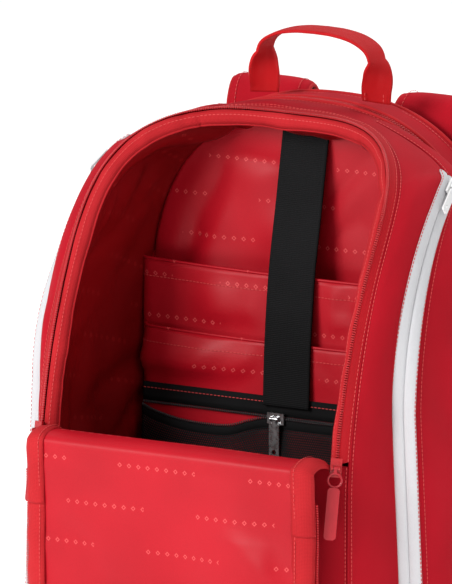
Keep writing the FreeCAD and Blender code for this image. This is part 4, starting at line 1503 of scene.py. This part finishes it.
    def elastic(self) -> None:
        """Hangs the wide elastic strap down the middle of the divider."""
        path = spline([(0, 50.6, 464), (0, 37.6, 400), (0, 26.6, 348), (0, 19.8, 292), (0, 16.8, 238)], 90)
        k = np.linspace(-1.0, 1.0, 22)
        rows = np.repeat(path[:, None], 22, axis=1)
        rows[..., 0] = 21.0 * k[None, :]
        made = Surface(rows, np.array([0.0, 90.0, 300.0]))
        made = made.lifted(rumple(made, 44, 10, 0.7, 9.0, 1.2) * edge_fade(made, 8.0))
        piece = cloth_piece("elastic_strap_web", made, Finishes.ELASTIC, 1.7)
        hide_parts("elastic_strap")
        Crew.ride("elastic", piece)


# ---- back -------------------------------------------------------------------------------------
def puffed(piece: bpy.types.Object, frames: int = 20, pressure: float = 4.0, most: float = 1.6) -> None:
    """Lets a closed pad swell under its own pressure, then keeps the result.

    Args:
        piece: A closed mesh at rest.
        frames: Number of frames simulated.
        pressure: Pressure inside the pad.
        most: Furthest that any point may move, in mm.
    """
    bpy.context.view_layer.objects.active = piece
    start = np.array([v.co[:] for v in piece.data.vertices])
    cloth = piece.modifiers.new("cloth", "CLOTH")
    settings = cloth.settings
    settings.quality = 6
    settings.mass = 0.3
    settings.tension_stiffness = 25.0
    settings.compression_stiffness = 25.0
    settings.shear_stiffness = 12.0
    settings.bending_stiffness = 0.6
    settings.use_pressure = True
    settings.uniform_pressure_force = pressure
    settings.effector_weights.gravity = 0.0
    cloth.point_cache.frame_start, cloth.point_cache.frame_end = 1, frames
    scene = bpy.context.scene
    for frame in range(1, frames + 1):
        scene.frame_set(frame)
    graph = bpy.context.evaluated_depsgraph_get()
    ended = np.array([v.co[:] for v in piece.evaluated_get(graph).to_mesh().vertices])
    piece.modifiers.remove(cloth)
    moved = ended - start
    reach = np.linalg.norm(moved, axis=1, keepdims=True)
    moved = moved * np.minimum(1.0, most * MM / np.maximum(reach, 1e-9))
    piece.data.vertices.foreach_set("co", (start + moved).ravel())
    piece.data.update()
    scene.frame_set(1)


@dataclass
class Rear:
    """Racket compartment: gusset, back panel, pads and the webbing anchors."""

    outline: Outline
    front_y: float = 71.6
    back_y: float = 102.9
    foot: float = 0.8
    panel_y: float = 105.8
    pad_front: float = 105.9
    pad_back: float = 115.8
    pad_x: tuple[float, float] = (20.0, 104.0)
    pad_z: tuple[float, float] = (60.0, 400.0)

    def build(self) -> None:
        """Builds the compartment's shell and what is sewn to it."""
        self.gusset()
        self.panel()
        for side, sign in SIDES:
            self.pad(side, sign)
            self.anchor(side, sign)

    def loop(self, y: float, inset: float) -> Points:
        """Returns the compartment's outline as a closed loop from the middle of its foot."""
        right = self.outline.seam(y, inset)
        low = np.array([[x, y, self.foot] for x in np.linspace(0.0, right[0, 0] - 8.0, 12)])
        bend = spline([(right[0, 0] - 8.0, y, self.foot), (right[0, 0] - 2.2, y, self.foot + 2.2),
                       (right[0, 0], y, self.foot + 8.0)], 8)
        right = np.concatenate([low, bend, right[right[:, 2] > self.foot + 9.0]])
        return resample(np.concatenate([right, mirrored(right)[::-1][1:]]), np.linspace(0.0, 1.0, 200))

    def gusset(self) -> None:
        """Dresses the compartment's side wall, with a welt round the back."""
        depths = np.linspace(self.front_y, self.back_y, 10)
        rows = np.stack([self.loop(y, 0.3) for y in depths], axis=1)
        made = Surface(rows, np.array([0.0, 87.0, 240.0]))
        soft = rumple(made, 101, 60, 1.1, 9.0, 1.4) * edge_fade(made, 7.0)
        piece = cloth_piece("rear_gusset_cloth", made.lifted(soft), Finishes.FABRIC, 2.2,
                            Finishes.LINING_PAINTED_SHADE)
        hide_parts("rear_gusset")
        welt = piping("back_welt", self.loop(self.back_y + 0.6, 0.4), 3.6, Finishes.BINDING)
        Crew.ride("rear_shell", piece, welt, sewn_line("rear_gusset_stitch", made, 0.82, 0.3))

    def panel(self) -> None:
        """Dresses the back panel with spacer mesh over foam, stitched along its arched top."""
        top = self.outline.seam(self.panel_y, 1.2)[-1, 2]
        share = np.linspace(0.0, 1.0, 120)
        heights = self.foot + 0.6 + (top - 0.4 - self.foot - 0.6) * (1.0 - (1.0 - share) ** 1.5)
        curve = self.outline.seam(self.panel_y, 1.2)
        half = np.interp(heights, curve[:, 2], curve[:, 0])
        k = np.linspace(-1.0, 1.0, 90)
        places = np.broadcast_arrays(half[:, None] * k[None, :], self.panel_y - 1.6, heights[:, None])
        rows = np.stack(places, axis=2)
        made = Surface(rows, np.array([0.0, 0.0, 240.0]))
        made = made.lifted(1.3 * edge_fade(made, 12.0))
        piece = cloth_piece("back_panel_mesh", made, Finishes.BACKING, 2.4, Finishes.LINING_PAINTED_SHADE)
        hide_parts("back_panel")
        yoke = [p for p in self.outline.seam(self.panel_y, 16.0) if p[2] > 300.0]
        arch = over_the_top(np.array(yoke)) + np.array([0.0, 0.4, 0.0])
        Crew.ride("rear_shell", piece, stitch_row("back_panel_stitch", arch, BACKWARD))

    def pad(self, side: str, sign: float) -> None:
        """Makes one long back pad: a closed, crowned form with two sewn channels."""
        x = np.linspace(-1.0, 1.0, 26)
        z = np.linspace(-1.0, 1.0, 96)
        grid_x, grid_z = np.meshgrid(x, z)
        half_x, half_z = (self.pad_x[1] - self.pad_x[0]) / 2, (self.pad_z[1] - self.pad_z[0]) / 2
        edge = np.clip((1.0 - np.abs(grid_x) ** 5) * (1.0 - np.abs(grid_z) ** 14), 0.0, 1.0) ** 0.5
        channel = np.ones_like(edge)
        for where in (-0.34, 0.34):
            channel -= 0.62 * np.exp(-(((grid_z - where) * half_z) / 5.0) ** 2)
        places_x = (self.pad_x[0] + half_x + grid_x * half_x) * sign
        places_z = (self.pad_z[0] + half_z) + grid_z * half_z
        depth = self.pad_front + (self.pad_back - self.pad_front) * edge * channel
        outer = np.stack([places_x, depth, places_z], axis=2).reshape(-1, 3)
        inner = outer.copy()
        inner[:, 1] = self.pad_front
        rows, columns = grid_x.shape
        count = rows * columns
        front = grid_faces(rows, columns)
        rim = list(range(columns)) + [r * columns + columns - 1 for r in range(1, rows)]
        rim += [(rows - 1) * columns + c for c in range(columns - 2, -1, -1)]
        rim += [r * columns for r in range(rows - 2, 0, -1)]
        faces: list[Sequence[int]] = list(front) + [tuple(i + count for i in f[::-1]) for f in front]
        faces += [(b, a, a + count, b + count) for a, b in zip(rim, rim[1:] + rim[:1])]
        faces = faces if sign < 0 else [f[::-1] for f in faces]
        uvs = np.concatenate([outer[:, [0, 2]], inner[:, [0, 2]]])
        piece = mesh_piece(f"back_pad_{side}", np.concatenate([outer, inner]), faces,
                           Finishes.SPACER_PAD, uvs)
        puffed(piece, most=0.5)
        if side == "right":
            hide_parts("back_pads")
        trim = np.array([outer[i] for i in rim + rim[:1]]) + np.array([0.0, 0.9, 0.0])
        bead = piping(f"back_pad_edge_{side}", trim, 2.0, Finishes.BLACK_TAPE)
        Crew.ride("rear_shell", piece, bead)
        LOG.info("pad %s is %.0f mm long", side, 2.0 * half_z)

    def anchor(self, side: str, sign: float) -> None:
        """Sews the folded webbing that holds the lower strap."""
        x = np.linspace(118.4, 141.6, 10) * sign
        z = np.linspace(12.5, 38.5, 10)
        grid_x, grid_z = np.meshgrid(x, z)
        rows = np.stack([grid_x, np.full_like(grid_x, 109.6), grid_z], axis=2)
        made = Surface(rows, np.array([130.0 * sign, 0.0, 25.0]))
        piece = cloth_piece(f"webbing_anchor_{side}_fold", made, Finishes.WEBBING, 3.2)
        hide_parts(f"webbing_anchor_{side}")
        box = np.array([[120.4, 14.6], [139.6, 14.6], [139.6, 36.4], [120.4, 36.4], [120.4, 14.6],
                        [139.6, 36.4]])
        path = np.stack([box[:, 0] * sign, np.full(6, 109.9), box[:, 1]], axis=1)
        path = resample(path, np.linspace(0.0, 1.0, 60))
        Crew.ride("rear_shell", piece, stitch_row(f"webbing_anchor_{side}_stitch", path, BACKWARD))


# ---- handle and shoulder straps ---------------------------------------------------------------
@dataclass
class Straps:
    """The carrying handle, the shoulder straps and the lower webbing."""

    webbing: float = 25.0

    def build(self) -> None:
        """Builds everything the bag is carried by."""
        self.handle()
        for side, sign in SIDES:
            self.shoulder(side, sign)
            self.lower_webbing(side, sign)

    def ribbon(self, name: str, path: Points, wide: Points, width: Any, thick: float, finish: Any) -> Surface:
        """Returns a flat webbing surface along a path.

        Args:
            name: Reported in the log.
            path: Centre line in mm.
            wide: Direction across the webbing at every point.
            width: Its width in mm.
            thick: Its thickness in mm.
            finish: Its finish.

        Returns:
            The webbing's outer face.
        """
        LOG.info("%s is %.0f mm of %s, %.1f mm thick", name,
                 float(np.linalg.norm(np.diff(path, axis=0), axis=1).sum()), finish.name, thick)
        k = np.linspace(-0.5, 0.5, 14)[None, :, None]
        return Surface(path[:, None] + wide[:, None] * k * width)

    def handle(self) -> None:
        """Loops the handle's webbing, flat where it is sewn and turned edge-on at the grip."""
        knots = [(50, 73, 481.5), (50.5, 73, 490), (53.5, 73, 503), (54.5, 73, 515), (49.5, 73, 526.5),
                 (36, 73, 534.5), (18, 73, 538.2), (0, 73, 539)]
        right = spline(knots, 60)
        path = np.concatenate([right, mirrored(right)[::-1][1:]])
        along = unit(np.gradient(path, axis=0))
        back = np.array([[0.0, 1.0, 0.0]])
        flat = unit(np.cross(back, along))
        steps = np.minimum(np.arange(len(path)), np.arange(len(path))[::-1]) / 21.0
        twist = (np.minimum(1.0, steps) ** 1.3 * math.pi / 2)[:, None]
        half = np.where(np.arange(len(path)) < 60, 1.0, -1.0)[:, None]
        wide = flat * np.cos(twist) * half + back * np.sin(twist)
        made = self.ribbon("handle", path, wide, self.webbing, 2.4, Finishes.WEBBING)
        made.inside = np.array([0.0, 73.0, 500.0])
        deep = unit(np.cross(along, wide))[:, None]
        rows = made.rows + deep * 1.2
        k = np.linspace(-1.0, 1.0, 14)
        cupped = Surface(rows + deep * (0.5 * k ** 2)[None, :, None], made.inside)
        piece = cloth_piece("handle_web", cupped, Finishes.WEBBING, 2.4)
        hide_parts("handle_webbing")
        Crew.ride("handle", piece)
        for side, sign in SIDES:
            for offset in (-8.5, 8.5):
                row = [(50 * sign + offset, 71.4, 482.5), (50 * sign + offset, 71.4, 490.0)]
                line = resample(np.array(row), np.linspace(0.0, 1.0, 8))
                edge = "outer" if offset * sign > 0 else "inner"
                Crew.ride("handle", stitch_row(f"handle_stitch_{side}_{edge}", line, FORWARD))

    def shoulder(self, side: str, sign: float) -> None:
        """Makes one padded strap: a crowned closed form with edge binding and sewn channels."""
        knots = [(75, 114, 449), (75.5, 119, 463), (77, 128, 474), (78, 138, 475), (79, 150, 462),
                 (80, 157, 440),
                 (84, 166, 400), (88, 170, 360), (94, 169, 320), (100, 165, 280), (106, 158, 245),
                 (109.5, 153, 226), (110.5, 151, 217)]
        halves = [36, 37, 37, 37, 37, 37, 37, 37, 35, 31, 25, 18, 17]
        depths = [4, 8, 11, 12, 12, 12, 12, 12, 12, 12, 10, 6, 4]
        given = np.array([(x * sign, y, z) for x, y, z in knots], dtype=float)
        path = spline(given.tolist(), 110)
        spots = [int(np.argmin(np.linalg.norm(path - g, axis=1))) for g in given]
        half = np.interp(np.arange(110), spots, halves) - 1.6
        depth = np.interp(np.arange(110), spots, depths) / 2 - 0.4
        along = unit(np.gradient(path, axis=0))
        wide = unit(np.cross(along, unit(np.cross(np.array([[1.0, 0.0, 0.0]]), along))))
        wide = np.where(wide[:, :1] > 0, wide, -wide)
        deep = unit(np.cross(wide, along))
        away = path - np.array([80.0 * sign, 120.0, 420.0])
        deep = np.where(np.sum(deep * away, axis=1, keepdims=True) > 0, deep, -deep)
        angle = np.linspace(0.0, 2 * math.pi, 28, endpoint=False)
        c, s = np.cos(angle), np.sin(angle)
        across = np.sign(c) * np.abs(c) ** 0.7
        rise = np.sign(s) * np.abs(s) ** 0.75
        rings = (path[:, None] + wide[:, None] * (half[:, None] * across[None])[..., None]
                 + deep[:, None] * (depth[:, None] * rise[None])[..., None])
        faces: list[Sequence[int]] = list(grid_faces(110, 28, around=True))
        faces += [list(range(28))[::-1], [109 * 28 + i for i in range(28)]]
        if sign < 0:
            faces = [f[::-1] for f in faces]
        lengths = np.concatenate([[0.0], np.cumsum(np.linalg.norm(np.diff(path, axis=0), axis=1))])
        uvs = np.stack(np.broadcast_arrays(half[:, None] * across[None], lengths[:, None]), axis=2)
        uvs = uvs.reshape(-1, 2)
        piece = mesh_piece(f"shoulder_strap_{side}_pad", rings.reshape(-1, 3), faces, Finishes.FABRIC, uvs)
        piece.data.materials.append(Finishes.get(Finishes.SPACER_PAD))
        inner = [int(len(f) == 4 and (f[0] % 28 >= 15 if min(f) % 28 else max(f) % 28 >= 15)) for f in faces]
        piece.data.polygons.foreach_set("material_index", inner)
        puffed(piece, most=0.8)
        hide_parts(f"shoulder_strap_{side}")
        parts = [piece]
        for edge in (-1.0, 1.0):
            line = path + wide * (half * edge)[:, None]
            label = "inner" if edge * sign < 0 else "outer"
            parts.append(swept(f"shoulder_strap_{side}_{label}_edge", line, deep, round_profile(3.0, 3.4, 8),
                               Finishes.BINDING))
            seam = path + wide * ((half - 7.5) * edge)[:, None] + deep * (depth * 0.86 + 0.5)[:, None]
            parts.append(stitch_row(f"shoulder_strap_{side}_{label}_stitch", seam, deep))
        Crew.ride(f"strap_{side}", *parts)

    def lower_webbing(self, side: str, sign: float) -> None:
        """Hangs the webbing between the back's foot and the ladder lock."""
        knots = [(130 * sign, 110.5, 42), (124 * sign, 122, 90), (119 * sign, 132, 130),
                 (115 * sign, 139, 166)]
        path = spline(knots, 50)
        along = unit(np.gradient(path, axis=0))
        wide = unit(np.cross(along, np.array([[0.0, 1.0, 0.0]])))
        made = self.ribbon(f"lower webbing {side}", path, wide, self.webbing - 0.4, 1.8, Finishes.WEBBING)
        piece = cloth_piece(f"lower_webbing_{side}_web", made, Finishes.WEBBING, 1.7)
        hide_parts(f"lower_webbing_{side}")
        Crew.ride(f"webbing_{side}", piece)


# ---- sliders, pulls and locks -----------------------------------------------------------------
@dataclass
class Hardware:
    """Finishes for the sliders, pulls and ladder locks, which are the CAD's own parts."""

    nodes: dict[str, bpy.types.Object]
    edge: float = 0.35

    def build(self) -> None:
        """Dresses every hard part, and softens the edges of the ladder locks and the base board."""
        finishes = {"mesh_slider": Finishes.SILVER, "mesh_pull": Finishes.SILVER}
        for where in ("upper", "lower"):
            finishes[f"racket_slider_{where}"] = Finishes.RED_METAL
            finishes[f"racket_pull_{where}"] = Finishes.RED_PULL
        for side, _ in SIDES:
            finishes[f"main_slider_{side}"] = Finishes.RED_METAL
            finishes[f"main_pull_{side}"] = Finishes.RED_PULL
            finishes[f"side_slider_{side}"] = Finishes.WHITE_METAL
            finishes[f"side_pull_{side}"] = Finishes.WHITE_METAL
        for name, finish in finishes.items():
            self.dress(self.nodes[name], finish, 0.0)
        for side, _ in SIDES:
            self.dress(self.nodes[f"ladder_lock_{side}"], Finishes.NYLON, self.edge)
        self.dress(self.nodes["base_panel"], Finishes.BOARD, self.edge)

    def dress(self, part: bpy.types.Object, finish: Any, edge: float) -> None:
        """Gives one CAD part its finish.

        Args:
            part: The CAD part.
            finish: Its finish.
            edge: Radius of its softened edges in mm, or 0 to leave them.
        """
        part.data.materials.clear()
        part.data.materials.append(Finishes.get(finish))
        LOG.info("%s is %s", part.name, finish.name)
        if edge <= 0.0:
            return
        bevel = part.modifiers.new("edge", "BEVEL")
        bevel.width = edge * MM
        bevel.segments = 2
        bevel.limit_method = "ANGLE"
        bevel.angle_limit = math.radians(50.0)


# ---- studio -----------------------------------------------------------------------------------
@dataclass
class Studio:
    """Camera, floor and soft lights."""

    azimuth: float = 30.0
    elevation: float = 12.0
    distance: float = 12000.0
    across: float = -39.1
    height: float = 328.3
    lens: float = 922.4
    floor_half: float = 9000.0
    floor_z: float = -0.6
    aim: tuple[float, float, float] = (0.0, -0.02, 0.26)

    def build(self) -> None:
        """Sets up the camera, the floor, the lights and the world."""
        self.camera()
        self.floor()
        self.lights()

    def camera(self) -> None:
        """Places a long lens in front and to the viewer's right, looking slightly down."""
        a, e = math.radians(self.azimuth), math.radians(self.elevation)
        back = Vector((math.sin(a) * math.cos(e), -math.cos(a) * math.cos(e), math.sin(e)))
        side = Vector((math.cos(a), math.sin(a), 0.0))
        up = back.cross(side)
        data = bpy.data.cameras.new("camera")
        data.lens = self.lens
        data.sensor_width = 36.0
        data.clip_start, data.clip_end = 1.0, 1000.0
        camera = bpy.data.objects.new("camera", data)
        camera.location = (side * self.across + up * self.height + back * self.distance) * MM
        camera.rotation_euler = Matrix((side, up, back)).transposed().to_euler()
        bpy.context.scene.collection.objects.link(camera)
        bpy.context.scene.camera = camera

    def floor(self) -> None:
        """Lays a pale floor."""
        half, low = self.floor_half, self.floor_z
        spots = np.array([[x * half, y * half, low] for x, y in ((-1, -1), (1, -1), (1, 1), (-1, 1))])
        pale = Solid("pale_floor", (0.90, 0.90, 0.90), 0.9, grain=2.0, worn=0.02, glow=0.34)
        floor = mesh_piece("floor", spots, [(0, 1, 2, 3)], pale)

    def light(self, name: str, where: tuple[float, float, float], size: float, power: float) -> None:
        """Adds one soft square light aimed at the bag's middle."""
        data = bpy.data.lights.new(name, "AREA")
        data.size = size
        data.energy = power
        lamp = bpy.data.objects.new(name, data)
        lamp.location = where
        lamp.rotation_euler = (Vector(where) - Vector(self.aim)).to_track_quat("Z", "Y").to_euler()
        bpy.context.scene.collection.objects.link(lamp)

    def lights(self) -> None:
        """Lights the bag from above left with soft fill, on a near-white world."""
        self.light("key_light", (-0.9, -2.6, 1.5), 1.2, 74.0)
        self.light("fill_light", (2.2, -1.0, 1.5), 1.8, 14.0)
        self.light("rim_light", (0.2, 1.6, 2.4), 1.4, 40.0)
        world = bpy.data.worlds.new("studio_world")
        world.use_nodes = True
        world.node_tree.nodes["Background"].inputs[0].default_value = (1.0, 1.0, 1.0, 1.0)
        world.node_tree.nodes["Background"].inputs[1].default_value = 0.55
        bpy.context.scene.world = world
        bpy.context.scene.view_settings.view_transform = "Standard"


def main() -> None:
    """Builds the whole bag on its frame."""
    logging.basicConfig(level=logging.INFO, format="%(message)s")
    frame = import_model()
    outline = Outline()
    Studio().build()
    Shell(outline).build()
    Zips(outline).build()
    Flap(outline).build()
    Interior(outline).build()
    Rear(outline).build()
    Straps().build()
    Hardware({name: bpy.data.objects[name] for name in frame["nodes"]}).build()


if __name__ == "__main__":
    main()
